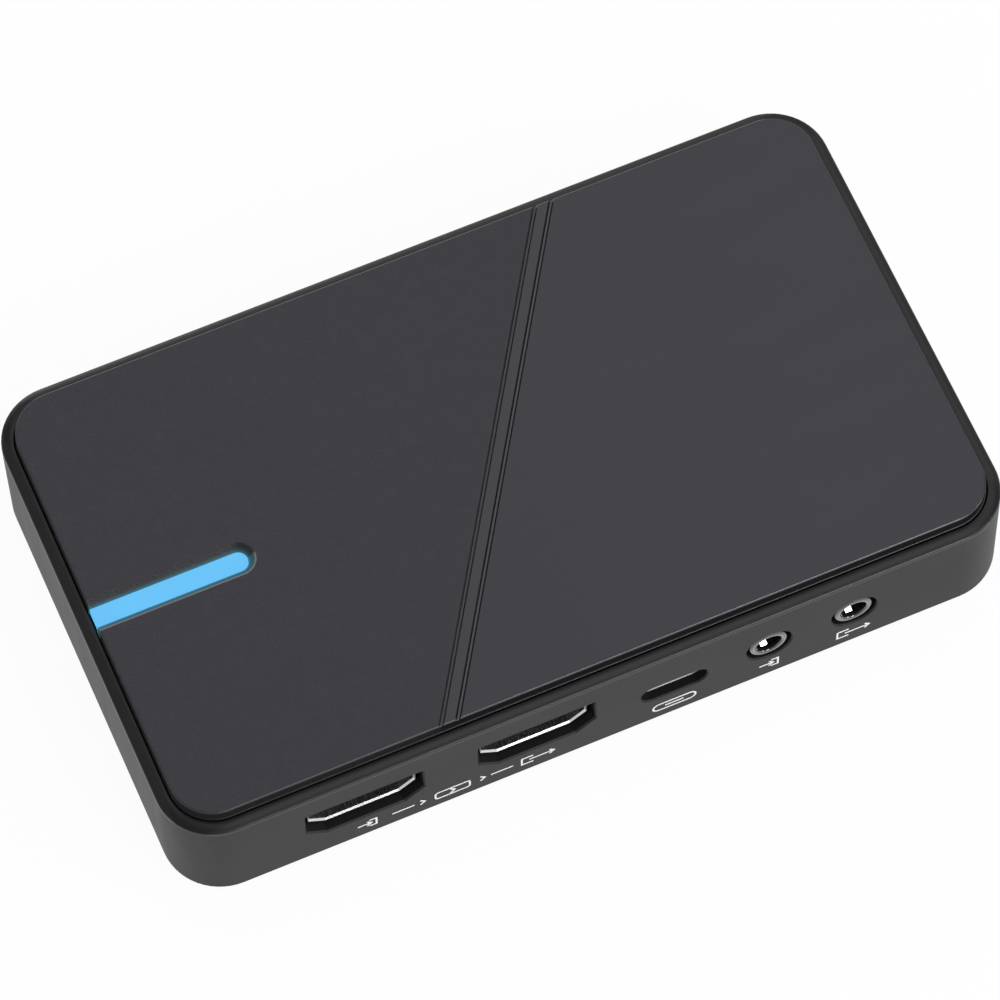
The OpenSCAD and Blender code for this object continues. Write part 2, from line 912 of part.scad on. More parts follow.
// The upper row runs down behind the block, the lower row inside it
module data_pins_all() {
    back = data_len + data_back;
    top = data_mid_z + data_tongue_t / 2;
    low = data_mid_z - data_tongue_t / 2;
    inner = back - data_row_step;
    for (i = [0:data_pins - 1])
        translate([(i - (data_pins - 1) / 2) * data_pitch, 0, 0]) {
            across_x(data_pin_w)
                polygon([[data_pin_y, top - pin_t],
                         [back, top - pin_t],
                         [back, 0],
                         [back + pin_foot, 0],
                         [back + pin_foot, pin_t],
                         [back + pin_t, pin_t],
                         [back + pin_t, top],
                         [data_pin_y, top]]);
            across_x(data_pin_w)
                polygon([[data_pin_y, low],
                         [inner, low],
                         [inner, 0],
                         [inner + pin_t, 0],
                         [inner + pin_t, low + pin_t],
                         [data_pin_y, low + pin_t]]);
        }
}

module data_tongue()
    color([0.06, 0.06, 0.06])
        translate([data_x, shell_y, board_top])
            difference() {
                union() {
                    translate([0, 0, data_mid_z])
                        along_y(data_len - data_block, data_block + join)
                            oval(data_block_w, data_h - 2 * metal_t - 2 * data_fit);
                    translate([-data_block_w / 2, data_len, 0])
                        cube([data_block_w, data_back, data_h]);
                    translate([-data_tongue_w / 2, data_tongue_y, data_mid_z - data_tongue_t / 2])
                        cube([data_tongue_w, data_len - data_tongue_y, data_tongue_t]);
                }
                data_pins_all();
            }

module data_contacts()
    color([0.85, 0.68, 0.3])
        translate([data_x, shell_y, board_top])
            data_pins_all();

// Audio sockets

// Window in the body's side for a leaf and its tail
module leaf_window(s, y)
    translate([s > 0 ? 0 : -jack_w, y - tail_len - window_play, jack_z - leaf_slot / 2])
        cube([jack_w, tail_len + leaf_arm + leaf_lip[1] + 3 * window_play, leaf_slot]);

// The barrel's section, round at the front: its inner wall is the collar that guides the plug
module barrel_profile() {
    polygon([[bore_r, jack_lead],
             [bore_r + jack_lead, 0],
             [barrel_r - barrel_round, 0],
             [barrel_r, barrel_round],
             [barrel_r, jack_body_y + join],
             [bore_r, jack_body_y + join]]);
    translate([bore_r + jack_lead, jack_lead])
        circle(jack_lead);
    translate([barrel_r - barrel_round, barrel_round])
        circle(barrel_round);
}

// Behind the collar the bore is a little wider, as far as its end
module audio_body(x)
    color([0.05, 0.05, 0.05])
        translate([x, jack_front, board_top])
            difference() {
                union() {
                    translate([0, 0, jack_z])
                        rotate([-90, 0, 0])
                            rotate_extrude()
                                barrel_profile();
                    translate([-jack_w / 2, jack_body_y, 0])
                        cube([jack_w, jack_len + jack_back - jack_body_y, jack_h]);
                }
                translate([0, 0, jack_z])
                    round_y(collar_end, jack_len - collar_end, relief_r, relief_r);
                leaf_window(1, outer_ring_y);
                leaf_window(-1, inner_ring_y);
                leaf_window(1, tip_y);
                translate([sleeve_x - leaf_slot / 2, collar_end, 0])
                    cube([leaf_slot, jack_body_y, jack_z]);
                translate([sleeve_x - leaf_slot / 2, jack_body_y - join, -over])
                    cube([leaf_slot, sleeve_root[0] + tail_len + window_play - jack_body_y, jack_z + over]);
            }

// Fixed tail of a side leaf: through the window, then down the body's side to the board
module side_tail(s, y)
    mirror([s > 0 ? 0 : 1, 0, 0])
        translate([0, y - leaf_t / 2 - leaf_gap - tail_len, 0]) {
            translate([leaf_root_x - leaf_t, 0, jack_z - leaf_w / 2])
                cube([jack_w / 2 + tail_t - leaf_root_x + leaf_t, tail_len, leaf_w]);
            translate([jack_w / 2, 0, 0])
                cube([tail_t, tail_len, jack_z + leaf_w / 2]);
        }

module audio_tails(x)
    color([0.8, 0.8, 0.82])
        translate([x, jack_front, board_top]) {
            side_tail(1, outer_ring_y);
            side_tail(-1, inner_ring_y);
            side_tail(1, tip_y);
            translate([sleeve_x - leaf_w / 2, sleeve_root[0] + leaf_t / 2 + leaf_gap, 0])
                cube([leaf_w, tail_len, sleeve_root[1] + leaf_t / 2]);
        }

// A bent strip through three points, in the plane of its bending, with a pointed root
module leaf_strip(a, b, c, across) {
    t = leaf_t / 2 * across;
    root = a + (a - b) / norm(a - b) * leaf_t / 2;
    polygon([a - t, b - t, c - t, c + t, b + t, a + t, root]);
}

// Side leaf: it trails in from its root, touches the plug, and turns out again
module side_leaf(x, s, y)
    color([0.85, 0.8, 0.62])
        translate([x, jack_front, board_top + jack_z - leaf_w / 2])
            mirror([s > 0 ? 0 : 1, 0, 0])
                linear_extrude(leaf_w)
                    leaf_strip([leaf_root_x, y],
                               [leaf_tip_x, y + leaf_arm],
                               [leaf_tip_x + leaf_lip[0], y + leaf_arm + leaf_lip[1]],
                               [1, 0]);

// Sleeve leaf: it lies along the bottom of the bore, its lip towards the mouth
module sleeve_leaf(x)
    color([0.85, 0.8, 0.62])
        translate([x + sleeve_x, jack_front, board_top])
            across_x(leaf_w)
                leaf_strip(sleeve_root, sleeve_bump, sleeve_lip, [0, 1]);

module audio_in_body()
    audio_body(audio_in_x);

module audio_in_tails()
    audio_tails(audio_in_x);

module audio_in_sleeve_leaf()
    sleeve_leaf(audio_in_x);

module audio_in_outer_ring_leaf()
    side_leaf(audio_in_x, 1, outer_ring_y);

module audio_in_inner_ring_leaf()
    side_leaf(audio_in_x, -1, inner_ring_y);

module audio_in_tip_leaf()
    side_leaf(audio_in_x, 1, tip_y);

module audio_out_body()
    audio_body(audio_out_x);

module audio_out_tails()
    audio_tails(audio_out_x);

module audio_out_sleeve_leaf()
    sleeve_leaf(audio_out_x);

module audio_out_outer_ring_leaf()
    side_leaf(audio_out_x, 1, outer_ring_y);

module audio_out_inner_ring_leaf()
    side_leaf(audio_out_x, -1, inner_ring_y);

module audio_out_tip_leaf()
    side_leaf(audio_out_x, 1, tip_y);

// Processor, its pad and its heat sink

// A moulded package with a dot sunk beside its first contact
module package(at, size)
    translate([at[0], at[1], board_top])
        difference() {
            translate([-size[0] / 2, -size[1] / 2, 0])
                cube(size);
            translate([-size[0] / 2 + dot_in, size[1] / 2 - dot_in, size[2] - dot_h])
                cylinder(h = over, r = dot_r);
        }

module capture_processor()
    color([0.1, 0.1, 0.1])
        translate([chip_x, chip_y, board_top]) {
            translate([-chip_w / 2, -chip_w / 2, 0])
                cube([chip_w, chip_w, chip_base]);
            translate([-chip_w / 2 + chip_step, -chip_w / 2 + chip_step, chip_base - join])
                cube([chip_w - 2 * chip_step, chip_w - 2 * chip_step, chip_h - chip_base + join]);
        }

module thermal_pad()
    color([0.55, 0.6, 0.66])
        translate([chip_x - chip_w / 2 + chip_step, chip_y - chip_w / 2 + chip_step, board_top + chip_h])
            cube([chip_w - 2 * chip_step, chip_w - 2 * chip_step, pad_t]);

module heat_sink()
    color([0.72, 0.73, 0.75])
        translate([chip_x - sink_w / 2, chip_y - sink_w / 2, sink_z]) {
            cube([sink_w, sink_w, sink_base]);
            for (i = [0:fins - 1])
                translate([i * (sink_w - fin_t) / (fins - 1), 0, sink_base - join])
                    cube([fin_t, sink_w, fin_top - sink_z - sink_base + join]);
        }

// Other parts of the board

module memory_chips()
    color([0.09, 0.09, 0.1])
        for (s = [-1, 1])
            package([memory_x, chip_y + s * (memory[1] + memory_gap) / 2], memory);

// The leads reach under the package, which they carry
module flash_chip()
    color([0.09, 0.09, 0.1]) {
        translate([0, 0, flash_lift])
            package(flash_at, flash);
        for (s = [-1, 1], i = [0:flash_leads - 1])
            translate([flash_at[0] + (i - (flash_leads - 1) / 2) * lead_pitch, flash_at[1], board_top])
                rotate([0, 0, s > 0 ? 0 : 180])
                    translate([-lead_w / 2, flash[1] / 2 - lead_in, 0])
                        cube([lead_w, lead_in + lead_out, lead_t]);
    }

module video_receiver()
    color([0.09, 0.09, 0.1])
        package(receiver_at, receiver);

module video_repeater()
    color([0.09, 0.09, 0.1])
        package(repeater_at, repeater);

module data_bridge()
    color([0.09, 0.09, 0.1])
        package(bridge_at, bridge);

module audio_codec()
    color([0.09, 0.09, 0.1])
        package(codec_at, codec);

module crystals()
    color([0.78, 0.78, 0.8])
        for (p = crystal_spots)
            translate([p[0], p[1], board_top]) {
                translate([-crystal_w / 2, -crystal_d / 2, 0])
                    cube([crystal_w, crystal_d, crystal_base]);
                translate([-crystal_w / 2 + crystal_step, -crystal_d / 2 + crystal_step, crystal_base - join])
                    cube([crystal_w - 2 * crystal_step, crystal_d - 2 * crystal_step, crystal_lid + join]);
            }

module power_inductors()
    color([0.2, 0.2, 0.2])
        for (i = [0:coils - 1])
            translate([coil_first[0] + i * coil_pitch, coil_first[1], board_top]) {
                translate([-coil_foot_w / 2, -coil_foot_d / 2, 0])
                    cube([coil_foot_w, coil_foot_d, coil_foot_h]);
                translate([0, 0, coil_foot_h - join])
                    linear_extrude(coil_h + join)
                        rounded_rect(coil_w, coil_w, coil_r);
            }

module can_capacitors()
    color([0.68, 0.69, 0.72])
        for (i = [0:cans - 1])
            translate([can_first[0], can_first[1] + i * can_pitch, board_top]) {
                linear_extrude(can_seat_h)
                    rounded_rect(can_seat_w, can_seat_w, can_seat_r);
                translate([0, 0, can_seat_h - join])
                    cylinder(h = can_h + join, r = can_r);
            }

module chip_capacitors()
    color([0.62, 0.5, 0.36])
        for (row = ceramic_rows, i = [0:row[2] - 1])
            translate([row[0][0] + i * row[1][0] - ceramic_w / 2,
                       row[0][1] + i * row[1][1] - ceramic_d / 2,
                       board_top])
                cube([ceramic_w, ceramic_d, ceramic_h]);

housing();
top_cover();
light_bar();
light_shroud();
status_lamps();
foot_front_left();
foot_front_right();
foot_back_left();
foot_back_right();
case_screws();
main_board();
video_in_shell();
video_in_tongue();
video_in_contacts();
video_out_shell();
video_out_tongue();
video_out_contacts();
data_shell();
data_tongue();
data_contacts();
audio_in_body();
audio_in_tails();
audio_in_sleeve_leaf();
audio_in_outer_ring_leaf();
audio_in_inner_ring_leaf();
audio_in_tip_leaf();
audio_out_body();
audio_out_tails();
audio_out_sleeve_leaf();
audio_out_outer_ring_leaf();
audio_out_inner_ring_leaf();
audio_out_tip_leaf();
capture_processor();
thermal_pad();
heat_sink();
memory_chips();
flash_chip();
video_receiver();
video_repeater();
data_bridge();
audio_codec();
crystals();
power_inductors();
can_capacitors();
chip_capacitors();
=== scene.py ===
"""Looks of a flat video capture box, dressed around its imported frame.

The frame: +X runs right along the sockets side, the sockets side faces -Y, +Z is up and the feet
stand on z = 0. Every length is in metres, and MM turns millimetres into them.
"""

import logging
import math
from abc import ABC, abstractmethod
from dataclasses import dataclass
from enum import Enum
from typing import Optional, Union

import bpy
import numpy as np
from bpy.types import Material, Node, NodeSocket, NodeTree, Object
from mathutils import Matrix, Vector


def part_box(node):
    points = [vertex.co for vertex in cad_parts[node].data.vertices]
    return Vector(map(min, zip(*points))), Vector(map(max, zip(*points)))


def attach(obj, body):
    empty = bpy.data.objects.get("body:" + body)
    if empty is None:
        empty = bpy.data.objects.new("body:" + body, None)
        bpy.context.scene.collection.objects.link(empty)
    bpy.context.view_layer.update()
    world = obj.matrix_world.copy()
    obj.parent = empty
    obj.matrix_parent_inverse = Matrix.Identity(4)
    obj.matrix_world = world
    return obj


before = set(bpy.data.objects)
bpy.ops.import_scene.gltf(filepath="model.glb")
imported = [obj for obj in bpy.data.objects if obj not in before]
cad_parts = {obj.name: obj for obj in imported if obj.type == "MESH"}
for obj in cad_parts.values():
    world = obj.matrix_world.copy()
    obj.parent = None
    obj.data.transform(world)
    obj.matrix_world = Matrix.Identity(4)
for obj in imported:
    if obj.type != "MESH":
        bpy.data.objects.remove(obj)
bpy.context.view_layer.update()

MM = 0.001
CASE_BODY = "case"
MOULD_PATCH = 14 * MM
FLECK_SHARE = 0.5

Colour = tuple[float, float, float]
Point = tuple[float, float, float]
Span = tuple[float, float]
Value = Union[float, tuple[float, ...], NodeSocket]
Mesh = tuple[np.ndarray, list[np.ndarray]]

log = logging.getLogger("capture_box")


def rgba(colour: Colour) -> tuple[float, float, float, float]:
    """The colour with a full alpha."""
    return (*colour, 1.0)


def scaled(colour: Colour, share: float) -> Colour:
    """The colour made darker or lighter by a share of itself."""
    return tuple(channel * share for channel in colour)


class Flow(Enum):
    """The way that a signal goes through a socket."""

    IN = "in"
    OUT = "out"


class Axis(Enum):
    """A direction of the frame, by its index."""

    X = 0
    Y = 1
    Z = 2


class SocketKind(Enum):
    """Blender's name of a node group's socket type."""

    NUMBER = "NodeSocketFloat"
    VECTOR = "NodeSocketVector"


class Graph:
    """A shader node tree, with short calls that add nodes and join their sockets."""

    def __init__(self, tree: NodeTree) -> None:
        """Keeps the tree that the calls add to."""
        self.tree = tree

    def add(self, kind: str, inputs: Optional[dict[Union[str, int], Value]] = None,
            **settings: object) -> Node:
        """Adds one node, sets its properties and fills its inputs.

        Args:
            kind: Blender's node type, without the leading "ShaderNode".
            inputs: an input's name or index, to a plain value or to another node's output.
            settings: properties of the node, such as its operation.

        Returns:
            The new node.
        """
        node = self.tree.nodes.new("ShaderNode" + kind)
        for name, value in settings.items():
            setattr(node, name, value)
        for key, value in (inputs or {}).items():
            self.fill(node.inputs[key], value)
        return node

    def fill(self, socket: NodeSocket, value: Value) -> None:
        """Joins an output to the input, or sets the input's own value."""
        if isinstance(value, NodeSocket):
            self.tree.links.new(value, socket)
        else:
            socket.default_value = value

    def place(self) -> NodeSocket:
        """The point on the piece, in the frame."""
        return self.add("TexCoord").outputs["Object"]

    def part(self, place: NodeSocket, axis: Axis) -> NodeSocket:
        """The point's distance from the origin along one axis, or a direction's part along it."""
        return self.add("SeparateXYZ", {0: place}).outputs[axis.value]

    def math(self, operation: str, first: Value, second: Value = 0.0) -> NodeSocket:
        """One step of arithmetic on numbers."""
        return self.add("Math", {0: first, 1: second}, operation=operation).outputs[0]

    def ramp(self, value: Value, start: float, end: float, low: float = 0.0, high: float = 1.0) -> NodeSocket:
        """Carries a number from one range to another, and holds it inside the new one.

        Args:
            value: the number to carry over.
            start: the value that becomes low.
            end: the value that becomes high.
            low: the result at start.
            high: the result at end.

        Returns:
            The output with the result.
        """
        sockets = {"Value": value, "From Min": start, "From Max": end, "To Min": low, "To Max": high}
        return self.add("MapRange", sockets).outputs["Result"]

    def blend(self, share: Value, first: Value, second: Value) -> NodeSocket:
        """Mixes two colours.

        Args:
            share: how much of the second colour there is, from 0 to 1.
            first: a colour or a colour output.
            second: a colour or a colour output.

        Returns:
            The output with the mixed colour.
        """
        node = self.add("Mix", data_type="RGBA")
        given = {"Factor_Float": share, "A_Color": first, "B_Color": second}
        for socket in node.inputs:
            if socket.identifier in given:
                self.fill(socket, given[socket.identifier])
        return next(socket for socket in node.outputs if socket.identifier == "Result_Color")

    def noise(self, place: NodeSocket, scale: Value, detail: float) -> NodeSocket:
        """Cloudy noise from 0 to 1, with the given count of lumps per metre."""
        return self.add("TexNoise", {"Vector": place, "Scale": scale, "Detail": detail}).outputs[0]

    def bump(self, height: NodeSocket, depth: float, normal: NodeSocket) -> NodeSocket:
        """A normal that leans as a relief of the given depth would make it lean."""
        return self.add("Bump", {"Distance": depth, "Height": height, "Normal": normal}).outputs["Normal"]


class Effect(ABC):
    """A shader node group that several finishes share: built once, then placed with its own values."""

    name: str
    inputs: dict[str, SocketKind]
    outputs: dict[str, SocketKind]

    def group(self) -> NodeTree:
        """The node group, built the first time it is asked for."""
        return bpy.data.node_groups.get(self.name) or self._build()

    def _build(self) -> NodeTree:
        """Makes the group's sockets and wires its inside.

        Returns:
            The new node group.
        """
        tree = bpy.data.node_groups.new(self.name, "ShaderNodeTree")
        for way, sockets in (("INPUT", self.inputs), ("OUTPUT", self.outputs)):
            for name, kind in sockets.items():
                tree.interface.new_socket(name, in_out=way, socket_type=kind.value)
        given = tree.nodes.new("NodeGroupInput").outputs
        results = tree.nodes.new("NodeGroupOutput").inputs
        graph = Graph(tree)
        for name, socket in self.wire(graph, {key: given[key] for key in self.inputs}).items():
            graph.fill(results[name], socket)
        return tree

    @abstractmethod
    def wire(self, graph: Graph, given: dict[str, NodeSocket]) -> dict[str, NodeSocket]:
        """Wires the group's inside.

        Args:
            graph: the group's own nodes.
            given: the group's inputs by name.

        Returns:
            What feeds each of the group's outputs.
        """

    def on(self, graph: Graph, values: dict[str, Value]) -> dict[str, NodeSocket]:
        """Places the effect in a material.

        Args:
            graph: the material's nodes.
            values: a value or an output for each of the effect's inputs.

        Returns:
            The effect's outputs by name.
        """
        node = graph.add("Group", node_tree=self.group())
        for name, value in values.items():
            graph.fill(node.inputs[name], value)
        return {name: node.outputs[name] for name in self.outputs}


class MouldGrain(Effect):
    """The fine relief that an etched mould leaves: coarse lumps with finer ones on them."""

    name = "mould_grain"
    inputs = {"Place": SocketKind.VECTOR, "Size": SocketKind.NUMBER}
    outputs = {"Height": SocketKind.NUMBER, "Fleck": SocketKind.NUMBER}
    fine_times: float = 2.3
    fine_share: float = 0.5
    fleck_times: float = 0.2
    fleck_span: Span = (0.5, 0.75)

    def wire(self, graph: Graph, given: dict[str, NodeSocket]) -> dict[str, NodeSocket]:
        """Height is the coarse lumps plus a share of the fine; flecks are the tops of wider lumps."""
        density = graph.math("DIVIDE", 1.0, given["Size"])
        coarse = graph.noise(given["Place"], density, detail=1.0)
        fine = graph.noise(given["Place"], graph.math("MULTIPLY", density, self.fine_times), detail=2.0)
        height = graph.math("ADD", coarse, graph.math("MULTIPLY", fine, self.fine_share))
        wide = graph.noise(given["Place"], graph.math("MULTIPLY", density, self.fleck_times), detail=2.0)
        return {"Height": height, "Fleck": graph.ramp(wide, *self.fleck_span)}


class SoftPatches(Effect):
    """Broad, faint unevenness: cloudy patches, and streaks as a wiping hand leaves them."""

    name = "soft_patches"
    inputs = {"Place": SocketKind.VECTOR, "Size": SocketKind.NUMBER}
    outputs = {"Patch": SocketKind.NUMBER, "Streak": SocketKind.NUMBER}
    slant: float = 0.6
    stretch: float = 6.0
    patch_span: Span = (0.3, 0.7)
    streak_span: Span = (0.45, 0.75)

    def wire(self, graph: Graph, given: dict[str, NodeSocket]) -> dict[str, NodeSocket]:
        """Patches are slow noise; streaks are noise drawn out along a slant."""
        density = graph.math("DIVIDE", 1.0, given["Size"])
        patch = graph.noise(given["Place"], density, detail=3.0)
        turned = graph.add("Mapping", {"Vector": given["Place"], "Rotation": (0.0, 0.0, self.slant),
                                       "Scale": (1.0, self.stretch, 1.0)})
        streak = graph.noise(turned.outputs["Vector"], density, detail=4.0)
        return {"Patch": graph.ramp(patch, *self.patch_span),
                "Streak": graph.ramp(streak, *self.streak_span)}


class EdgeRoundAndHighlight(Effect):
    """Softly broken edges: a normal that rounds them, and a mask of the strip along them, where the finishes
    paint a highlight.
    """

    name = "edge_round_and_highlight"
    inputs = {"Radius": SocketKind.NUMBER}
    outputs = {"Edge": SocketKind.NUMBER, "Normal": SocketKind.VECTOR}
    samples: int = 4
    edge_span: Span = (0.99, 0.85)

    def wire(self, graph: Graph, given: dict[str, NodeSocket]) -> dict[str, NodeSocket]:
        """The mask is how far the rounded normal leans from the plain one."""
        rounded = graph.add("Bevel", {"Radius": given["Radius"]}, samples=self.samples).outputs["Normal"]
        plain = graph.add("NewGeometry").outputs["Normal"]
        along = graph.add("VectorMath", {0: rounded, 1: plain}, operation="DOT_PRODUCT").outputs["Value"]
        return {"Edge": graph.ramp(along, *self.edge_span), "Normal": rounded}


class DrawnLines(Effect):
    """Fine lines that rolling, drawing or brushing leaves in metal, along one direction."""

    name = "drawn_lines"
    inputs = {"Place": SocketKind.VECTOR, "Density": SocketKind.VECTOR}
    outputs = {"Line": SocketKind.NUMBER}

    def wire(self, graph: Graph, given: dict[str, NodeSocket]) -> dict[str, NodeSocket]:
        """Noise on a place that is squeezed across the lines and drawn out along them."""
        squeezed = graph.add("VectorMath", {0: given["Place"], 1: given["Density"]}, operation="MULTIPLY")
        return {"Line": graph.noise(squeezed.outputs["Vector"], 1.0, detail=3.0)}


GRAIN = MouldGrain()
PATCHES = SoftPatches()
EDGES = EdgeRoundAndHighlight()
LINES = DrawnLines()


@dataclass(frozen=True)
class Finish(ABC):
    """One surface finish: a material with a Principled shader that the kind of finish fills in."""

    name: str

    def material(self) -> Material:
        """The finish's material, built the first time it is asked for."""
        return bpy.data.materials.get(self.name) or self._build()

    def _build(self) -> Material:
        """Makes the material and its shader.

        Returns:
            The new material.
        """
        made = bpy.data.materials.new(self.name)
        made.use_nodes = True
        made.node_tree.nodes.clear()
        graph = Graph(made.node_tree)
        shader = graph.add("BsdfPrincipled")
        graph.add("OutputMaterial", {"Surface": shader.outputs["BSDF"]})
        for name, value in self.sockets(graph).items():
            graph.fill(shader.inputs[name], value)
        return made

    @abstractmethod
    def sockets(self, graph: Graph) -> dict[str, Value]:
        """Wires the finish.

        Args:
            graph: the material's nodes.

        Returns:
            A value or an output for each of the shader's inputs that the finish sets.
        """


def moulded_colour(graph: Graph, colour: Colour, spread: float, patch: NodeSocket,
                   fleck: NodeSocket) -> NodeSocket:
    """A plastic's colour: darker and lighter in patches, and lighter where it is flecked.

    Args:
        graph: the material's nodes.
        colour: the plain colour.
        spread: how far the colour varies, as a share of itself.
        patch: the mask of the light patches.
        fleck: the mask of the flecks.

    Returns:
        The output with the colour.
    """
    dark, light = rgba(scaled(colour, 1 - spread)), rgba(scaled(colour, 1 + spread))
    return graph.blend(graph.math("MULTIPLY", fleck, FLECK_SHARE), graph.blend(patch, dark, light), light)


@dataclass(frozen=True)
class MouldedPlastic(Finish):
    """Coloured plastic, rubber, resin or ceramic with a moulded grain, and smoother edges that carry a
    painted highlight.
    """

    colour: Colour
    roughness: float
    specular: float = 0.3
    coat: float = 0.0
    grain: float = 0.22 * MM
    depth: float = 0.006 * MM
    spread: float = 0.08
    wipe: float = 0.05
    edge_radius: float = 0.06 * MM
    edge_highlight_lift: float = 1.3
    edge_gloss: float = 0.06

    def sockets(self, graph: Graph) -> dict[str, Value]:
        """Patches and flecks vary the colour and the gloss; edges are a little smoother, and lighter as a
        painted highlight.

        Args:
            graph: the material's nodes.

        Returns:
            The shader's inputs.
        """
        place = graph.place()
        grain = GRAIN.on(graph, {"Place": place, "Size": self.grain})
        soft = PATCHES.on(graph, {"Place": place, "Size": MOULD_PATCH})
        edges = EDGES.on(graph, {"Radius": self.edge_radius})
        flecked = moulded_colour(graph, self.colour, self.spread, soft["Patch"], grain["Fleck"])
        matt = graph.ramp(soft["Streak"], 0.0, 1.0, self.roughness, self.roughness - self.wipe)
        polish = graph.math("MULTIPLY", edges["Edge"], self.edge_gloss)
        return {
            # Painted highlight: the base colour is lighter along the edges.
            "Base Color": graph.blend(edges["Edge"], flecked, rgba(scaled(self.colour, self.edge_highlight_lift))),
            "Roughness": graph.math("SUBTRACT", matt, polish),
            "Specular IOR Level": self.specular,
            "Coat Weight": self.coat,
            "Normal": graph.bump(grain["Height"], self.depth, edges["Normal"]),
        }


@dataclass(frozen=True)
class EtchedHousing(Finish):
    """The housing's plastic: etched walls, and a rim above them that the mould left smoother."""

    colour: Colour
    wall_roughness: float
    rim_roughness: float
    rim_from: float
    half_width: float
    half_depth: float
    specular: float = 0.27
    rim_coat: float = 0.42
    coat_ends: Span = (0.7 * MM, 1.25 * MM)
    soft_step: float = 0.15 * MM
    grain: float = 0.25 * MM
    depth: float = 0.008 * MM
    rim_share: float = 0.15
    spread: float = 0.08
    wipe: float = 0.03
    edge_radius: float = 0.06 * MM
    edge_highlight_lift: float = 1.5
    edge_gloss: float = 0.08

    def sockets(self, graph: Graph) -> dict[str, Value]:
        """Height picks walls or rim; patches and flecks vary the colour, and the rim has less relief.

        The rim is glossy along the housing's outline and dull where it meets the plate.

        Args:
            graph: the material's nodes.

        Returns:
            The shader's inputs.
        """
        place = graph.place()
        grain = GRAIN.on(graph, {"Place": place, "Size": self.grain})
        soft = PATCHES.on(graph, {"Place": place, "Size": MOULD_PATCH})
        edges = EDGES.on(graph, {"Radius": self.edge_radius})
        height = graph.part(place, Axis.Z)
        rim = graph.ramp(height, self.rim_from - self.soft_step, self.rim_from + self.soft_step)
        flecked = moulded_colour(graph, self.colour, self.spread, soft["Patch"], grain["Fleck"])
        matt = graph.ramp(rim, 0.0, 1.0, self.wall_roughness, self.rim_roughness)
        wiped = graph.math("SUBTRACT", matt, graph.math("MULTIPLY", soft["Streak"], self.wipe))
        polish = graph.math("MULTIPLY", edges["Edge"], self.edge_gloss)
        relief = graph.math("MULTIPLY", grain["Height"], graph.ramp(rim, 0.0, 1.0, 1.0, self.rim_share))
        insets = [graph.math("SUBTRACT", half, graph.math("ABSOLUTE", graph.part(place, axis)))
                  for axis, half in ((Axis.X, self.half_width), (Axis.Y, self.half_depth))]
        gloss_start, gloss_end = self.coat_ends
        outer = graph.ramp(graph.math("MINIMUM", *insets), gloss_end, gloss_start)
        return {
            # Painted highlight: the base colour is lighter along the edges.
            "Base Color": graph.blend(edges["Edge"], flecked, rgba(scaled(self.colour, self.edge_highlight_lift))),
            "Roughness": graph.math("SUBTRACT", wiped, polish),
            "Specular IOR Level": self.specular,
            "Coat Weight": graph.math("MULTIPLY", graph.math("MULTIPLY", rim, outer), self.rim_coat),
            "Coat Roughness": self.rim_roughness,
            "Normal": graph.bump(relief, self.depth, edges["Normal"]),
        }


@dataclass(frozen=True)
class LitTrough:
    """Where the light bar lies in the cover, the painted glow of its light beside it, and a painted highlight
    line along the trough's front rim.
    """

    end: float
    bar_width: float
    rim_width: float
    reach: float
    front_share: float
    rim_height: float
    glow: Colour
    strength: float
    painted_glint: Colour
    painted_glint_width: float
    fall: float = 3.0
    soft: float = 0.2 * MM

    def away(self, graph: Graph, place: NodeSocket) -> NodeSocket:
        """The distance from the bar's middle line: past the end of its straight part, or aside."""
        past = graph.math("MAXIMUM", graph.math("SUBTRACT", graph.part(place, Axis.X), self.end), 0.0)
        flat = graph.add("CombineXYZ", {0: past, 1: graph.part(place, Axis.Y)}).outputs[0]
        return graph.add("VectorMath", {0: flat}, operation="LENGTH").outputs["Value"]

    def in_front(self, graph: Graph, place: NodeSocket) -> NodeSocket:
        """1 on the socket side of the bar, 0 behind it."""
        return graph.ramp(graph.part(place, Axis.Y), self.soft, -self.soft)

    def mask(self, graph: Graph, place: NodeSocket) -> NodeSocket:
        """1 beside the bar, falling to 0 at the trough's rim.

        The light falls with a power of what is left of its reach. The bevel in front, which faces the
        lit back, gets an even share on top of that.

        Args:
            graph: the material's nodes.
            place: the point on the cover.

        Returns:
            The output with the mask.
        """
        away = self.away(graph, place)
        near = graph.ramp(away, self.bar_width / 2 + self.reach, self.bar_width / 2)
        inside = graph.ramp(away, self.rim_width / 2 + self.soft, self.rim_width / 2, 0.0, self.front_share)
        share = graph.math("MULTIPLY", inside, self.in_front(graph, place))
        light = graph.math("ADD", graph.math("POWER", near, self.fall), share)
        sunk = graph.ramp(graph.part(place, Axis.Z), self.rim_height, self.rim_height - self.soft)
        return graph.math("MULTIPLY", light, sunk)

    def around(self, graph: Graph, place: NodeSocket) -> NodeSocket:
        """1 in the trough and close to it, 0 on the rest of the cover."""
        return graph.ramp(self.away(graph, place), self.rim_width, self.rim_width - self.soft)

    def edge(self, graph: Graph, place: NodeSocket) -> NodeSocket:
        """1 on the front edge of the trough's rim, where a painted highlight shows as a thin light line, and
        0 elsewhere.
        """
        off = graph.math("ABSOLUTE", graph.math("SUBTRACT", self.away(graph, place), self.rim_width / 2))
        line = graph.ramp(off, self.painted_glint_width / 2, self.painted_glint_width / 4)
        return graph.math("MULTIPLY", line, self.in_front(graph, place))


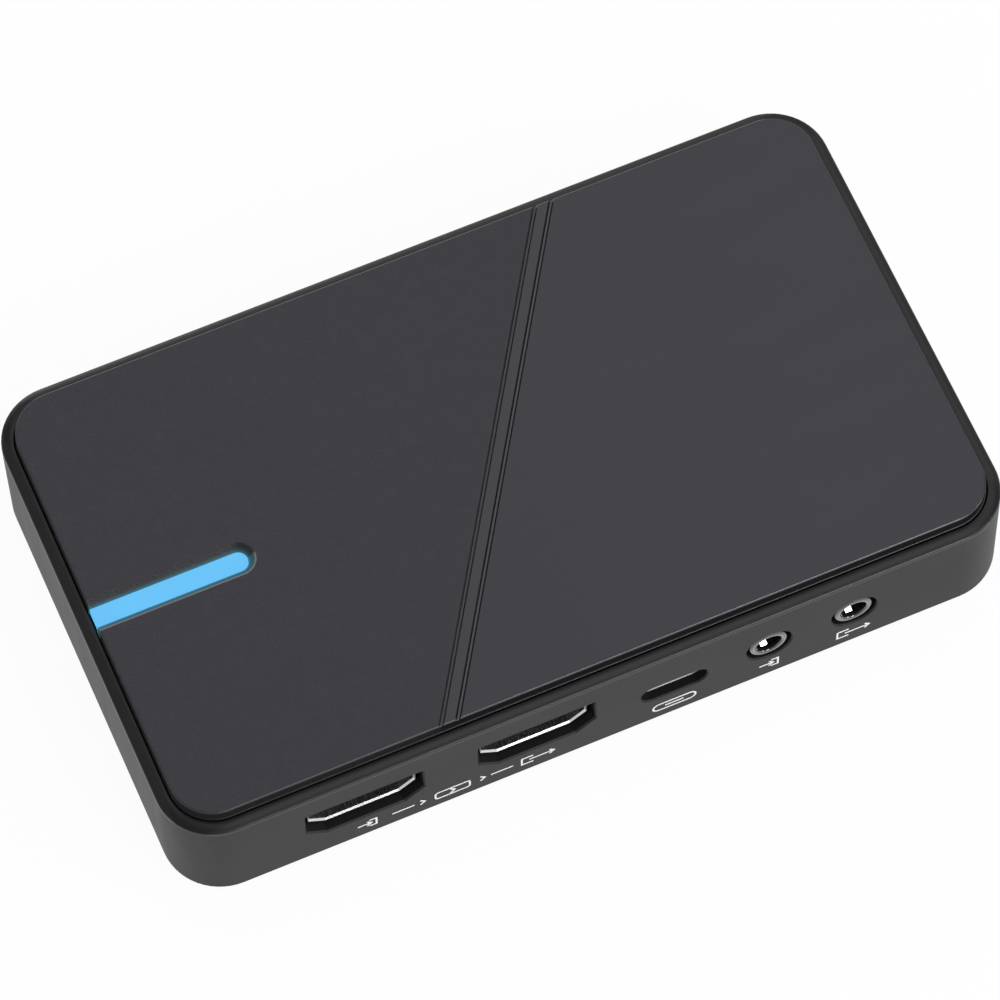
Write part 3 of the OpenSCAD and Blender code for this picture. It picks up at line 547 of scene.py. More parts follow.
@dataclass(frozen=True)
class TwoZoneCover(Finish):
    """The cover's plastic: an etched left zone, a plain strip between two grooves, a satin right zone.

    The spans at the end are of the parts of a face's normal, up or to the right, between which a mask
    goes from 0 to 1.
    """

    etched: Colour
    strip: Colour
    satin: Colour
    etched_roughness: float
    strip_roughness: float
    satin_roughness: float
    specular: float
    strip_angle: float
    strip_width: float
    strip_at: float
    half_width: float
    half_depth: float
    trough: LitTrough
    etched_grain: float = 0.3 * MM
    etched_depth: float = 0.05 * MM
    fleck_lift: float = 1.2
    patch: float = 25 * MM
    spread: float = 0.05
    wipe: float = 0.02
    satin_relief: float = 0.02
    side_shade_share: float = 0.12
    groove_floor_highlight: Colour = (0.055, 0.054, 0.058)
    groove_heights: Span = (19.35 * MM, 19.66 * MM)
    foot_height: float = 18.8 * MM
    foot_dull: float = 0.2
    outline_width: float = 0.35 * MM
    outline_coat: float = 0.6
    outline_roughness: float = 0.2
    edge_radius: float = 0.08 * MM
    edge_highlight_lift: float = 1.5
    edge_gloss: float = 0.1
    soft: float = 0.1 * MM
    up_span: Span = (0.15, 0.5)
    slanted_span: Span = (0.985, 0.9)
    level_span: Span = (0.9, 0.97)
    right_span: Span = (-0.3, 0.3)

    def across(self, graph: Graph, place: NodeSocket) -> NodeSocket:
        """The distance from the strip's middle line, which grows to the right."""
        normal = (math.cos(self.strip_angle), -math.sin(self.strip_angle), 0.0)
        dot = graph.add("VectorMath", {0: place, 1: normal}, operation="DOT_PRODUCT").outputs["Value"]
        return graph.math("SUBTRACT", dot, self.strip_at * normal[0])

    def zone(self, graph: Graph, across: NodeSocket, border: float) -> NodeSocket:
        """A mask that goes from 0 to 1 where the distance across the strip passes the border."""
        return graph.ramp(across, border - self.soft / 2, border + self.soft / 2)

    def near_side(self, graph: Graph, place: NodeSocket, axis: Axis, half: float) -> NodeSocket:
        """A mask that is 1 along the plate's two sides across one axis and 0 further in."""
        out = graph.math("ABSOLUTE", graph.part(place, axis))
        inner = half - self.outline_width
        return graph.ramp(out, inner - self.soft, inner)

    def flank_shade(self, graph: Graph, place: NodeSocket, normal: NodeSocket, slanted: NodeSocket) -> NodeSocket:
        """A mask of the slanted faces that get painted shade: all of the trough's, and those of the grooves
        that face right.

        Args:
            graph: the material's nodes.
            place: the point on the cover.
            normal: the face's own normal.
            slanted: the mask of all slanted faces.

        Returns:
            The output with the mask.
        """
        sides = [self.near_side(graph, place, axis, half)
                 for axis, half in ((Axis.X, self.half_width), (Axis.Y, self.half_depth))]
        inside = graph.math("SUBTRACT", 1.0, graph.math("MAXIMUM", *sides))
        to_right = graph.ramp(graph.part(normal, Axis.X), *self.right_span)
        shaded = graph.math("MAXIMUM", to_right, self.trough.around(graph, place))
        return graph.math("MULTIPLY", graph.math("MULTIPLY", slanted, inside), shaded)

    def groove_floor(self, graph: Graph, height: NodeSocket, facing: NodeSocket) -> NodeSocket:
        """A mask of the level faces at the grooves' height, which get a painted highlight."""
        low, high = self.groove_heights
        sunk = graph.math("MULTIPLY", graph.ramp(height, low - self.soft / 2, low),
                          graph.ramp(height, high + self.soft / 5, high - self.soft / 5))
        return graph.math("MULTIPLY", sunk, graph.ramp(facing, *self.level_span))

    def sockets(self, graph: Graph) -> dict[str, Value]:
        """The distance across the slanted strip picks the zone, each with its colour and grain.

        Sides, flanks and the foot below the plate are dark with painted shade, groove floors are lighter with
        a painted highlight, and the long sides' edges have a gloss.

        Args:
            graph: the material's nodes.

        Returns:
            The shader's inputs.
        """
        place, normal = graph.place(), graph.add("NewGeometry").outputs["Normal"]
        height, facing = graph.part(place, Axis.Z), graph.part(normal, Axis.Z)
        grain = GRAIN.on(graph, {"Place": place, "Size": self.etched_grain})
        patches = PATCHES.on(graph, {"Place": place, "Size": self.patch})
        edges = EDGES.on(graph, {"Radius": self.edge_radius})
        across = self.across(graph, place)
        past_left = self.zone(graph, across, -self.strip_width / 2)
        past_right = self.zone(graph, across, self.strip_width / 2)
        upward = graph.ramp(facing, *self.up_span)
        slanted = graph.math("MULTIPLY", upward, graph.ramp(facing, *self.slanted_span))
        raised = graph.ramp(height, self.foot_height - self.soft, self.foot_height + self.soft)

        left = graph.blend(grain["Fleck"], rgba(self.etched), rgba(scaled(self.etched, self.fleck_lift)))
        right = graph.blend(patches["Patch"], rgba(scaled(self.satin, 1 - self.spread)),
                            rgba(scaled(self.satin, 1 + self.spread)))
        zones = graph.blend(past_right, graph.blend(past_left, left, rgba(self.strip)), right)
        # Painted highlight: the colour is lighter along the edges.
        edge_highlighted = graph.blend(edges["Edge"], zones, rgba(scaled(self.satin, self.edge_highlight_lift)))
        # Painted shade: a darkened copy of the satin colour for faces that are not turned up.
        dark = rgba(scaled(self.satin, self.side_shade_share))
        # Painted shade on the trough's bevels and the grooves' right-facing walls.
        flank_shaded = graph.blend(self.flank_shade(graph, place, normal, slanted), edge_highlighted, dark)
        # Painted highlight: the grooves' floors are lighter.
        groove_highlighted = graph.blend(self.groove_floor(graph, height, facing), flank_shaded, rgba(self.groove_floor_highlight))
        # Painted highlight: a thin light line along the trough's front rim.
        glinted = graph.blend(self.trough.edge(graph, place), groove_highlighted, rgba(self.trough.painted_glint))

        matt = graph.ramp(past_left, 0.0, 1.0, self.etched_roughness, self.strip_roughness)
        satin_step = graph.math("MULTIPLY", past_right, self.satin_roughness - self.strip_roughness)
        streaks = graph.math("MULTIPLY", patches["Streak"], self.wipe)
        wiped = graph.math("SUBTRACT", graph.math("ADD", matt, satin_step), streaks)
        polish = graph.math("MULTIPLY", edges["Edge"], self.edge_gloss)
        dull = graph.ramp(raised, 0.0, 1.0, self.foot_dull, 0.0)

        relief = graph.ramp(past_left, 0.0, 1.0, 1.0, self.satin_relief)
        long_side = graph.math("MULTIPLY", slanted, self.near_side(graph, place, Axis.Y, self.half_depth))
        lit = self.trough.mask(graph, place)
        return {
            # Painted shade on the sides and below the plate's foot: faces not turned up, or below the foot's
            # height, take the dark colour.
            "Base Color": graph.blend(graph.math("MULTIPLY", upward, raised), dark, glinted),
            "Roughness": graph.math("ADD", graph.math("SUBTRACT", wiped, polish), dull),
            "Specular IOR Level": self.specular,
            "Coat Weight": graph.math("MULTIPLY", long_side, self.outline_coat),
            "Coat Roughness": self.outline_roughness,
            # Painted glow: the light bar's light, laid on the cover as emission beside the bar.
            "Emission Color": graph.blend(lit, rgba((0.0, 0.0, 0.0)), rgba(self.trough.glow)),
            "Emission Strength": self.trough.strength,
            "Normal": graph.bump(graph.math("MULTIPLY", grain["Height"], relief), self.etched_depth,
                                 edges["Normal"]),
        }


@dataclass(frozen=True)
class DrawnMetal(Finish):
    """Bare or plated metal with fine drawn lines, faint tarnish and a painted highlight along its edges."""

    colour: Colour
    roughness: float
    along: Axis = Axis.Y
    pitch: float = 0.06 * MM
    stretch: float = 40.0
    depth: float = 0.0015 * MM
    line_span: Span = (0.3, 0.7)
    rough_steps: Span = (-0.05, 0.08)
    patch: float = 3 * MM
    tarnish: float = 0.12
    edge_radius: float = 0.04 * MM
    edge_highlight_lift: float = 1.1

    def sockets(self, graph: Graph) -> dict[str, Value]:
        """Lines lie in the relief and the gloss; patches darken the colour, and edges are lighter as a
        painted highlight.

        Args:
            graph: the material's nodes.

        Returns:
            The shader's inputs.
        """
        place = graph.place()
        density = [1 / self.pitch] * 3
        density[self.along.value] /= self.stretch
        lines = LINES.on(graph, {"Place": place, "Density": tuple(density)})
        soft = PATCHES.on(graph, {"Place": place, "Size": self.patch})
        edges = EDGES.on(graph, {"Radius": self.edge_radius})
        dull = graph.blend(soft["Patch"], rgba(self.colour), rgba(scaled(self.colour, 1 - self.tarnish)))
        smooth, rough = (self.roughness + step for step in self.rough_steps)
        return {
            # Painted highlight: the base colour is lighter along the edges.
            "Base Color": graph.blend(edges["Edge"], dull, rgba(scaled(self.colour, self.edge_highlight_lift))),
            "Metallic": 1.0,
            "Roughness": graph.ramp(lines["Line"], *self.line_span, smooth, rough),
            "Normal": graph.bump(lines["Line"], self.depth, edges["Normal"]),
        }


@dataclass(frozen=True)
class LitDiffuser(Finish):
    """A milky strip that lamps light from below: an even glow with faint brighter spots."""

    glow: Colour
    strength: float
    colour: Colour
    roughness: float = 0.4
    rough_step: float = 0.05
    specular: float = 0.2
    patch: float = 6 * MM
    spread: float = 0.03
    shade: float = 0.9
    grain: float = 0.15 * MM
    depth: float = 0.002 * MM

    def sockets(self, graph: Graph) -> dict[str, Value]:
        """Slow patches vary the glow by a small share.

        Args:
            graph: the material's nodes.

        Returns:
            The shader's inputs.
        """
        place = graph.place()
        soft = PATCHES.on(graph, {"Place": place, "Size": self.patch})
        grain = GRAIN.on(graph, {"Place": place, "Size": self.grain})
        weak, strong = scaled(self.glow, 1 - self.spread), scaled(self.glow, 1 + self.spread)
        shaded, rough = scaled(self.colour, self.shade), self.roughness + self.rough_step
        normal = graph.add("NewGeometry").outputs["Normal"]
        return {
            "Base Color": graph.blend(soft["Patch"], rgba(shaded), rgba(self.colour)),
            "Roughness": graph.ramp(soft["Streak"], 0.0, 1.0, self.roughness, rough),
            "Specular IOR Level": self.specular,
            "Emission Color": graph.blend(soft["Patch"], rgba(weak), rgba(strong)),
            "Emission Strength": self.strength,
            "Normal": graph.bump(grain["Height"], self.depth, normal),
        }


@dataclass(frozen=True)
class BoardLaminate(Finish):
    """A circuit board: solder mask over copper, with lighter traces where copper lies below it."""

    mask: Colour
    trace: Colour
    cell: float = 2.4 * MM
    trace_share: float = 0.08
    trace_core: float = 0.7
    trace_rise: float = 0.02 * MM
    patch: float = 10 * MM
    patch_lift: float = 1.15
    roughness: float = 0.35
    rough_step: float = 0.1

    def sockets(self, graph: Graph) -> dict[str, Value]:
        """Traces are the borders of scattered cells; they stand a little proud under the mask.

        Args:
            graph: the material's nodes.

        Returns:
            The shader's inputs.
        """
        place = graph.place()
        cells = graph.add("TexVoronoi", {"Vector": place, "Scale": 1 / self.cell},
                          feature="DISTANCE_TO_EDGE").outputs["Distance"]
        trace = graph.ramp(cells, self.trace_share, self.trace_share * self.trace_core)
        soft = PATCHES.on(graph, {"Place": place, "Size": self.patch})
        mask = graph.blend(soft["Patch"], rgba(self.mask), rgba(scaled(self.mask, self.patch_lift)))
        rough = self.roughness + self.rough_step
        normal = graph.add("NewGeometry").outputs["Normal"]
        return {
            "Base Color": graph.blend(trace, mask, rgba(self.trace)),
            "Roughness": graph.ramp(soft["Streak"], 0.0, 1.0, self.roughness, rough),
            "Normal": graph.bump(trace, self.trace_rise, normal),
        }


HOUSING = EtchedHousing("housing_satin", (0.008, 0.0078, 0.0088), wall_roughness=0.5, rim_roughness=0.32,
                        rim_from=17.4 * MM, half_width=58.5 * MM, half_depth=34.2 * MM)
# Painted light on the cover: the bar's glow beside it and a highlight line on the trough's front rim.
TROUGH = LitTrough(end=-36.525 * MM, bar_width=2.75 * MM, rim_width=4.65 * MM, reach=0.8 * MM,
                   front_share=0.45, rim_height=19.88 * MM, glow=(0.026, 0.13, 0.175), strength=1.0,
                   painted_glint=(0.145, 0.145, 0.145), painted_glint_width=0.36 * MM)
COVER = TwoZoneCover(
    "cover_two_zone",
    etched=(0.0134, 0.0122, 0.0201), strip=(0.017, 0.016, 0.0225), satin=(0.0095, 0.008, 0.016),
    etched_roughness=0.5, strip_roughness=0.38, satin_roughness=0.36, specular=0.5,
    strip_angle=math.radians(32.4), strip_width=1.98 * MM, strip_at=-0.23 * MM,
    half_width=56.6 * MM, half_depth=32.3 * MM, trough=TROUGH)
DIFFUSER = LitDiffuser("lit_diffuser", glow=(0.085, 0.355, 0.62), strength=1.4, colour=(0.02, 0.05, 0.08))
WHITE_PLASTIC = MouldedPlastic("reflector_white", (0.78, 0.78, 0.75), 0.45, specular=0.5)
LAMP_RESIN = MouldedPlastic("lamp_resin_yellow", (0.82, 0.7, 0.25), 0.25, specular=0.5)
RUBBER = MouldedPlastic("foot_rubber_black", (0.016, 0.016, 0.016), 0.8, grain=0.4 * MM, depth=0.02 * MM)
SCREW_STEEL = DrawnMetal("screw_zinc", (0.6, 0.6, 0.6), 0.35, along=Axis.Z)
LAMINATE = BoardLaminate("board_solder_mask", mask=(0.008, 0.06, 0.028), trace=(0.02, 0.13, 0.055))
SHELL_METAL = DrawnMetal("socket_nickel", (0.66, 0.65, 0.64), 0.22)
DARK_METAL = DrawnMetal("socket_dark_nickel", (0.26, 0.26, 0.26), 0.36)
TONGUE_PLASTIC = MouldedPlastic("tongue_black", (0.012, 0.012, 0.012), 0.45)
JACK_PLASTIC = MouldedPlastic("jack_black", (0.012, 0.012, 0.012), 0.16, specular=0.8, depth=0.001 * MM,
                              coat=1.0)
# Painted shade: the gold is darkened, as the contacts sit in shade deep in the sockets.
GOLD_IN_PAINTED_SHADE = DrawnMetal("contact_gold_painted_shade", (0.15, 0.115, 0.06), 0.45)
SPRING_METAL = DrawnMetal("leaf_nickel_silver", (0.83, 0.8, 0.72), 0.22)
CHIP_RESIN = MouldedPlastic("chip_epoxy", (0.014, 0.014, 0.015), 0.55, grain=0.12 * MM, depth=0.01 * MM)
PAD_SILICONE = MouldedPlastic("pad_silicone_grey", (0.3, 0.36, 0.42), 0.7)
SINK_METAL = DrawnMetal("sink_extruded", (0.74, 0.75, 0.77), 0.38, pitch=0.12 * MM, depth=0.004 * MM)
CAN_METAL = DrawnMetal("can_drawn", (0.76, 0.76, 0.78), 0.28, along=Axis.Z)
FERRITE = MouldedPlastic("ferrite_grey", (0.035, 0.035, 0.037), 0.6, grain=0.15 * MM, depth=0.015 * MM)
CERAMIC = MouldedPlastic("capacitor_ceramic_tan", (0.4, 0.27, 0.15), 0.5, grain=0.1 * MM)
INK = MouldedPlastic("legend_ink", (0.8, 0.8, 0.8), 0.5, grain=0.1 * MM, depth=0.002 * MM, spread=0.03,
                     edge_radius=0.01 * MM, edge_highlight_lift=1.05)


class SubAssembly(ABC):
    """Pieces that belong together: the meshes it builds, and the finish of each node that it dresses."""

    def build(self) -> list[Object]:
        """Builds no mesh, unless the sub-assembly has pieces of its own."""
        return []

    def finishes(self) -> dict[str, Finish]:
        """Names no node, unless the sub-assembly dresses some."""
        return {}

    def dress(self) -> None:
        """Puts each node's finish into all its material slots."""
        for node, finish in self.finishes().items():
            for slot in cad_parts[node].material_slots:
                slot.material = finish.material()
            log.info("node %s: %s", node, finish.name)


@dataclass
class CaseParts(SubAssembly):
    """The housing, the cover on it, and the feet and screws below it."""

    sides: tuple[str, ...] = ("front_left", "front_right", "back_left", "back_right")

    def finishes(self) -> dict[str, Finish]:
        """The finish of each node of the case."""
        feet = {f"foot_{side}": RUBBER for side in self.sides}
        return {"housing": HOUSING, "top_cover": COVER, "case_screws": SCREW_STEEL, **feet}


@dataclass
class LightUnit(SubAssembly):
    """The lit bar in the cover, with its reflector and its lamps."""

    def finishes(self) -> dict[str, Finish]:
        """The finish of each node of the light unit."""
        return {"light_bar": DIFFUSER, "light_shroud": WHITE_PLASTIC, "status_lamps": LAMP_RESIN}


@dataclass
class PlugSocket(SubAssembly):
    """A socket with a metal shell, a tongue and gold contacts."""

    name: str
    shell: Finish = SHELL_METAL

    def finishes(self) -> dict[str, Finish]:
        """The finish of each node of the socket."""
        return {f"{self.name}_shell": self.shell, f"{self.name}_tongue": TONGUE_PLASTIC,
                f"{self.name}_contacts": GOLD_IN_PAINTED_SHADE}


@dataclass
class AudioSocket(SubAssembly):
    """A round socket: a black body, solder tails and four sprung leaves."""

    flow: Flow
    leaves: tuple[str, ...] = ("sleeve", "outer_ring", "inner_ring", "tip")

    def finishes(self) -> dict[str, Finish]:
        """The finish of each node of the socket."""
        stem = f"audio_{self.flow.value}"
        leaves = {f"{stem}_{leaf}_leaf": SPRING_METAL for leaf in self.leaves}
        return {f"{stem}_body": JACK_PLASTIC, f"{stem}_tails": SPRING_METAL, **leaves}


@dataclass
class BoardParts(SubAssembly):
    """The board and what is soldered to it, apart from the sockets."""

    chips: tuple[str, ...] = ("capture_processor", "memory_chips", "flash_chip", "video_receiver",
                              "video_repeater", "data_bridge", "audio_codec")

    def finishes(self) -> dict[str, Finish]:
        """The finish of each node on the board."""
        chips = {chip: CHIP_RESIN for chip in self.chips}
        return {"main_board": LAMINATE, "thermal_pad": PAD_SILICONE, "heat_sink": SINK_METAL,
                "crystals": CAN_METAL, "power_inductors": FERRITE, "can_capacitors": CAN_METAL,
                "chip_capacitors": CERAMIC, **chips}


@dataclass(frozen=True)
class Stroke:
    """One printed line: a path of points (right, up) on the wall, open or closed."""

    path: np.ndarray
    closed: bool = False
    top_share: float = 0.92

    def band(self, width: float, rise: float) -> Mesh:
        """Carries a flat-topped profile along the path.

        At each point the profile lies along the mitre of the two lines that meet there: the sum of
        their normals, divided by one plus the cosine of their turn, so both sides stay parallel.

        Args:
            width: the line's width.
            rise: the height of its top above the wall.

        Returns:
            Points (right, up, out of the wall), and arrays of faces.
        """
        ahead = np.roll(self.path, -1, axis=0) - self.path
        steps = ahead if self.closed else ahead[:-1]
        steps = steps / np.linalg.norm(steps, axis=1, keepdims=True)
        normals = np.stack([-steps[:, 1], steps[:, 0]], axis=1)
        before = np.roll(normals, 1, axis=0) if self.closed else np.vstack([normals[:1], normals])
        after = normals if self.closed else np.vstack([normals, normals[-1:]])
        turn = 1 + (before * after).sum(axis=1, keepdims=True)
        mitre = (before + after) / turn
        side = np.array([-1.0, -self.top_share, self.top_share, 1.0]) * width / 2
        height = np.array([0.0, 1.0, 1.0, 0.0]) * rise
        flat = self.path[:, None, :] + mitre[:, None, :] * side[None, :, None]
        count, ring = flat.shape[:2]
        points = np.concatenate([flat, np.broadcast_to(height[None, :, None], (count, ring, 1))], axis=2)
        row = np.arange(count if self.closed else count - 1)[:, None]
        column = np.arange(ring)[None, :]
        next_row, next_column = (row + 1) % count, (column + 1) % ring
        corners = [row * ring + column, next_row * ring + column,
                   next_row * ring + next_column, row * ring + next_column]
        sides = np.stack(np.broadcast_arrays(*corners), axis=-1).reshape(-1, 4)
        faces = [sides]
        if not self.closed:
            faces.append(np.array([[0, 1, 2, 3], (count - 1) * ring + np.arange(3, -1, -1)]))
        return points.reshape(-1, 3), faces


def rounded_path(width: float, height: float, radius: float, steps: int = 8) -> np.ndarray:
    """A rectangle with round corners, as four quarter circles joined by straight lines.

    Args:
        width: the rectangle's width.
        height: the rectangle's height.
        radius: the radius of its corners.
        steps: points in each corner.

    Returns:
        The points around it, anticlockwise.
    """
    start = np.arange(4)[:, None] * math.pi / 2
    angle = start + np.linspace(0.0, math.pi / 2, steps)[None, :]
    side_x = np.array([1, -1, -1, 1])[:, None]
    side_y = np.array([1, 1, -1, -1])[:, None]
    across = side_x * (width / 2 - radius) + radius * np.cos(angle)
    up = side_y * (height / 2 - radius) + radius * np.sin(angle)
    return np.stack([across, up], axis=-1).reshape(-1, 2)


@dataclass
class PortLegends(SubAssembly):
    """Plain printed signs below the sockets: arrows into and out of a frame, a screen and a slot."""

    stroke: float = 0.28 * MM
    rise: float = 0.02 * MM
    height: float = 2.0 * MM
    above_base: float = 3.0 * MM
    in_width: float = 2.9 * MM
    in_tip: float = 0.22
    out_width: float = 4.8 * MM
    out_start: float = -0.25
    frame_share: float = 1 / 3
    head: float = 0.62 * MM
    shaft_gap: float = 0.75
    dash: float = 3.1 * MM
    dash_at: float = 6.9 * MM
    screen_width: float = 4.8 * MM
    screen_round: float = 0.45 * MM
    screen_tip: float = 0.3 * MM
    hint_at: float = 4.2 * MM
    slot_width: float = 6.0 * MM
    slot_round: float = 0.499
    slot_dash: float = 2.6 * MM

    def arrow(self, start: float, tip: float) -> list[Stroke]:
        """An arrow to the right: a shaft, and a head of two slanted lines."""
        shaft = np.array([[start, 0.0], [tip - self.shaft_gap * self.stroke, 0.0]])
        return [Stroke(shaft), self.chevron(tip)]

    def chevron(self, tip: float) -> Stroke:
        """Two slanted lines that meet at the tip, on the right."""
        back = tip - self.head
        return Stroke(np.array([[back, self.head], [tip, 0.0], [back, -self.head]]))

    def flow_sign(self, flow: Flow) -> list[Stroke]:
        """An arrow that goes into a three-sided frame, or comes out of one.

        Args:
            flow: which of the two it is.

        Returns:
            The sign's lines, about its own centre.
        """
        width = self.in_width if flow is Flow.IN else self.out_width
        half, up = (width - self.stroke) / 2, (self.height - self.stroke) / 2
        frame_side = half if flow is Flow.IN else -half
        open_side = frame_side - math.copysign(self.frame_share * width, frame_side)
        bracket = np.array([[open_side, up], [frame_side, up], [frame_side, -up], [open_side, -up]])
        start, tip = (-half, self.in_tip * width) if flow is Flow.IN else (self.out_start * width, half)
        return [Stroke(bracket), *self.arrow(start, tip)]

    def screen_sign(self) -> list[Stroke]:
        """A screen with an arrow head in it and one on either side, between two dashes."""
        outline = rounded_path(self.screen_width, self.height - self.stroke, self.screen_round)
        lines = [Stroke(outline, closed=True), self.chevron(self.screen_tip)]
        lines += [self.chevron(side * self.hint_at + self.head / 2) for side in (-1, 1)]
        for side in (-1, 1):
            ends = side * self.dash_at + np.array([-0.5, 0.5]) * self.dash
            lines.append(Stroke(np.stack([ends, np.zeros(2)], axis=1)))
        return lines

    def slot_sign(self) -> list[Stroke]:
        """A flat oval with a short line in it, as the data socket looks from the front."""
        tall = self.height - self.stroke
        outline = rounded_path(self.slot_width, tall, self.slot_round * tall, steps=12)
        line = np.array([[-0.5, 0.0], [0.5, 0.0]]) * self.slot_dash
        return [Stroke(outline, closed=True), Stroke(line)]

    def print_sign(self, name: str, lines: list[Stroke], across: float) -> Object:
        """Makes one sign on the sockets side's wall.

        Args:
            name: the piece's name.
            lines: the sign's lines, about its own centre.
            across: the sign's place along X.

        Returns:
            The new object, which rides on the case.
        """
        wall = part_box("housing")[0]
        points, faces, count = [], [], 0
        for line in lines:
            flat, quads = line.band(self.stroke, self.rise)
            placed = np.stack([across + flat[:, 0], wall.y - flat[:, 2],
                               wall.z + self.above_base + flat[:, 1]], axis=1)
            points.append(placed)
            faces += [quad + count for quad in quads]
            count += len(placed)
        mesh = bpy.data.meshes.new(name)
        mesh.from_pydata(np.concatenate(points).tolist(), [], np.concatenate(faces).tolist())
        mesh.materials.append(INK.material())
        sign = bpy.data.objects.new(name, mesh)
        bpy.context.scene.collection.objects.link(sign)
        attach(sign, CASE_BODY)
        return sign

    def build(self) -> list[Object]:
        """Makes the signs, each centred below its socket.

        Returns:
            The new objects.
        """
        def middle(node: str) -> float:
            """The middle of a node along X."""
            low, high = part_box(node)
            return (low.x + high.x) / 2

        video_in, video_out = middle("video_in_shell"), middle("video_out_shell")
        signs = {
            "video_in_sign": (self.flow_sign(Flow.IN), video_in),
            "video_out_sign": (self.flow_sign(Flow.OUT), video_out),
            "video_screen_sign": (self.screen_sign(), (video_in + video_out) / 2),
            "data_slot_sign": (self.slot_sign(), middle("data_shell")),
            "audio_in_sign": (self.flow_sign(Flow.IN), middle("audio_in_body")),
            "audio_out_sign": (self.flow_sign(Flow.OUT), middle("audio_out_body")),
        }
        return [self.print_sign(name, lines, across) for name, (lines, across) in signs.items()]


@dataclass(frozen=True)
class Softbox:
    """A large rectangular lamp with an even face."""

    name: str
    place: Point
    aim: Point
    width: float
    length: float
    radiance: float

    def build(self) -> None:
        """Makes the lamp.

        A flat lamp of area A and power P has the radiance P / (pi A), so the power follows from the
        radiance that the lamp should show.
        """
        lamp = bpy.data.lights.new(self.name, "AREA")
        lamp.shape = "RECTANGLE"
        lamp.size, lamp.size_y = self.width, self.length
        lamp.energy = self.radiance * math.pi * self.width * self.length
        holder = bpy.data.objects.new(self.name, lamp)
        turn = (Vector(self.place) - Vector(self.aim)).to_track_quat("Z", "Y")
        holder.matrix_world = Matrix.Translation(self.place) @ turn.to_matrix().to_4x4()
        bpy.context.scene.collection.objects.link(holder)


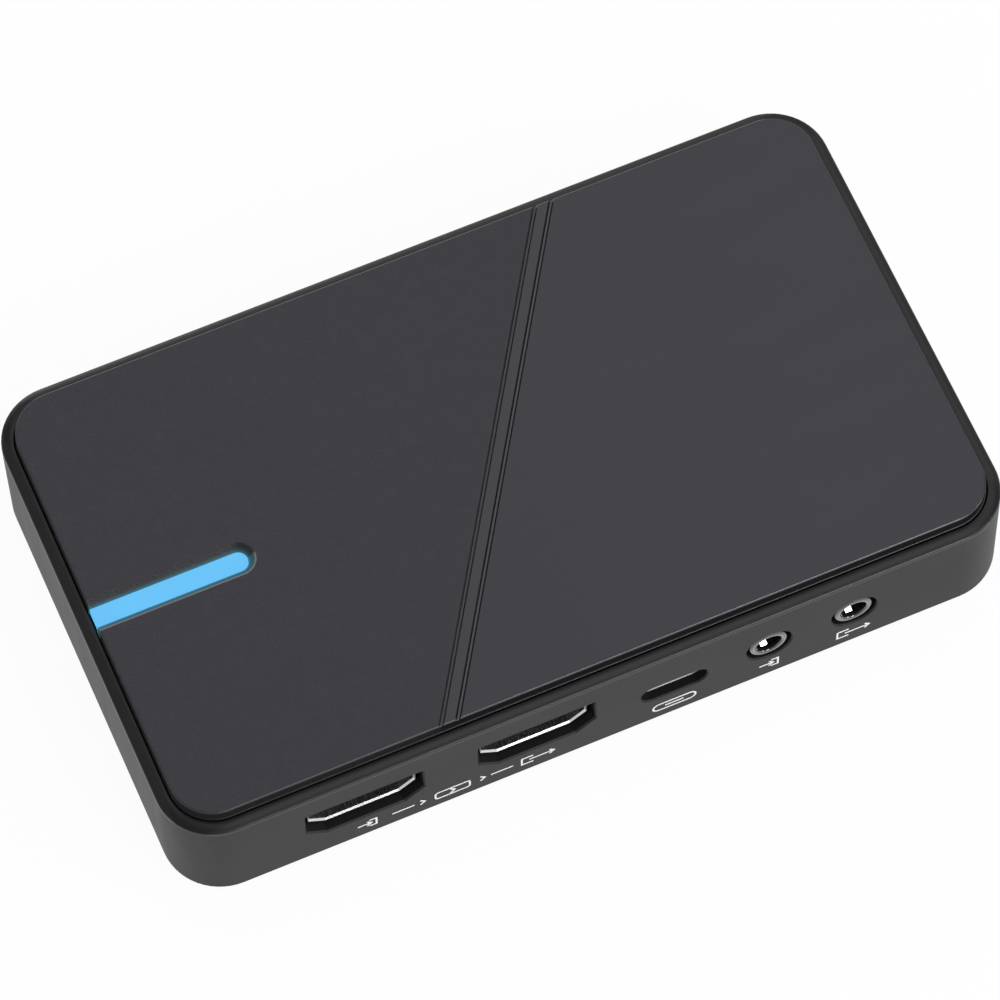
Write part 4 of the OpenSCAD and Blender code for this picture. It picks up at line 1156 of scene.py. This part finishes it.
@dataclass
class Studio:
    """A white sweep with large soft lamps, and the camera of the photograph's view."""

    aim: Point = (-0.555 * MM, -1.240 * MM, 10 * MM)
    distance: float = 821.81 * MM
    azimuth: float = math.radians(-21.3718)
    elevation: float = math.radians(63.5373)
    roll: float = math.radians(-2.0998)
    lens: float = 226.662
    sensor: float = 36.0
    sight: float = 100.0
    floor_side: float = 8.0
    floor_rows: int = 3
    floor_white: float = 0.9
    floor_lift: float = 0.95
    ceiling: float = 0.3
    ceiling_span: Span = (0.2, 0.6)
    lamps: tuple[Softbox, ...] = (
        Softbox("overhead_panel", (0.47, 0.8, 1.5), (0.47, 0.8, 0.0), 1.1, 2.0, 1.17),
        Softbox("front_strip", (0.362, -0.943, 0.818), (0.0, 0.0, 0.0), 0.32, 0.9, 8.0),
        Softbox("corner_lamp", (0.99, -0.626, 0.561), (0.0, 0.0, 0.0), 0.35, 0.35, 14.0),
        Softbox("back_strip", (-0.144, 1.298, 0.505), (0.0, 0.0, 0.0), 0.8, 0.35, 2.5),
    )

    def camera(self) -> None:
        """Sets up the camera from its angles, so that the aim is in the middle of the view."""
        lens = bpy.data.cameras.new("photo_camera")
        lens.lens, lens.sensor_width = self.lens, self.sensor
        lens.clip_end = self.sight
        holder = bpy.data.objects.new("photo_camera", lens)
        flat = math.cos(self.elevation)
        back = Vector((flat * math.sin(self.azimuth), -flat * math.cos(self.azimuth),
                       math.sin(self.elevation)))
        level = Vector((math.cos(self.azimuth), math.sin(self.azimuth), 0.0))
        upright = back.cross(level)
        right = math.cos(self.roll) * level + math.sin(self.roll) * upright
        turn = Matrix((right, back.cross(right), back)).transposed().to_4x4()
        holder.matrix_world = Matrix.Translation(Vector(self.aim) + back * self.distance) @ turn
        bpy.context.scene.collection.objects.link(holder)
        bpy.context.scene.camera = holder

    def background_rays(self, graph: Graph) -> NodeSocket:
        """1 for rays that show the background: from the camera, from gloss and through glass."""
        rays = graph.add("LightPath").outputs
        seen = graph.math("MAXIMUM", rays["Is Camera Ray"], rays["Is Glossy Ray"])
        return graph.math("MAXIMUM", seen, rays["Is Transmission Ray"])

    def floor(self) -> None:
        """Makes the pale floor: a flat grid, white where it is seen, with the box's soft shadow."""
        rows = self.floor_rows
        line = np.linspace(-0.5, 0.5, rows) * self.floor_side
        across, along = np.meshgrid(line, line, indexing="ij")
        points = np.stack([across, along, np.zeros_like(across)], axis=-1).reshape(-1, 3)
        cell = np.arange(rows - 1)
        start = (cell[:, None] * rows + cell[None, :]).reshape(-1, 1)
        mesh = bpy.data.meshes.new("studio_floor")
        mesh.from_pydata(points.tolist(), [], (start + np.array([0, rows, rows + 1, 1])).tolist())
        paper = bpy.data.materials.new("studio_paper")
        paper.use_nodes = True
        paper.node_tree.nodes.clear()
        graph = Graph(paper.node_tree)
        pale = rgba((self.floor_white,) * 3)
        matt = graph.add("BsdfDiffuse", {"Color": pale}).outputs["BSDF"]
        white = graph.add("Emission", {"Strength": 1.0}).outputs["Emission"]
        share = graph.math("MULTIPLY", self.background_rays(graph), self.floor_lift)
        mixed = graph.add("MixShader", {0: share, 1: matt, 2: white}).outputs[0]
        graph.add("OutputMaterial", {"Surface": mixed})
        mesh.materials.append(paper)
        floor = bpy.data.objects.new("studio_floor", mesh)
        bpy.context.scene.collection.objects.link(floor)

    def world(self) -> None:
        """Lights the scene from all round: white walls that fade to a grey ceiling."""
        world = bpy.data.worlds.new("studio_walls")
        world.use_nodes = True
        world.node_tree.nodes.clear()
        graph = Graph(world.node_tree)
        direction = graph.add("TexCoord").outputs["Generated"]
        share = graph.ramp(graph.part(direction, Axis.Z), *self.ceiling_span, 1.0, self.ceiling)
        walls = graph.add("Background", {"Color": rgba((1.0, 1.0, 1.0)), "Strength": share}).outputs[0]
        graph.add("OutputWorld", {"Surface": walls})
        bpy.context.scene.world = world

    def build(self) -> None:
        """Sets up the camera, the floor, the walls and the lamps."""
        bpy.context.scene.view_settings.view_transform = "Standard"
        self.camera()
        self.floor()
        self.world()
        for lamp in self.lamps:
            lamp.build()


def main() -> None:
    """Builds and dresses the sub-assemblies in order, then sets up the studio around them."""
    logging.basicConfig(level=logging.INFO, format="%(name)s: %(message)s")
    parts: list[SubAssembly] = [
        CaseParts(), LightUnit(),
        PlugSocket("video_in"), PlugSocket("video_out"), PlugSocket("data", DARK_METAL),
        AudioSocket(Flow.IN), AudioSocket(Flow.OUT), BoardParts(), PortLegends(),
    ]
    for part in parts:
        for piece in part.build():
            log.info("piece %s: %d faces", piece.name, len(piece.data.polygons))
        part.dress()
    Studio().build()


if __name__ == "__main__":
    main()
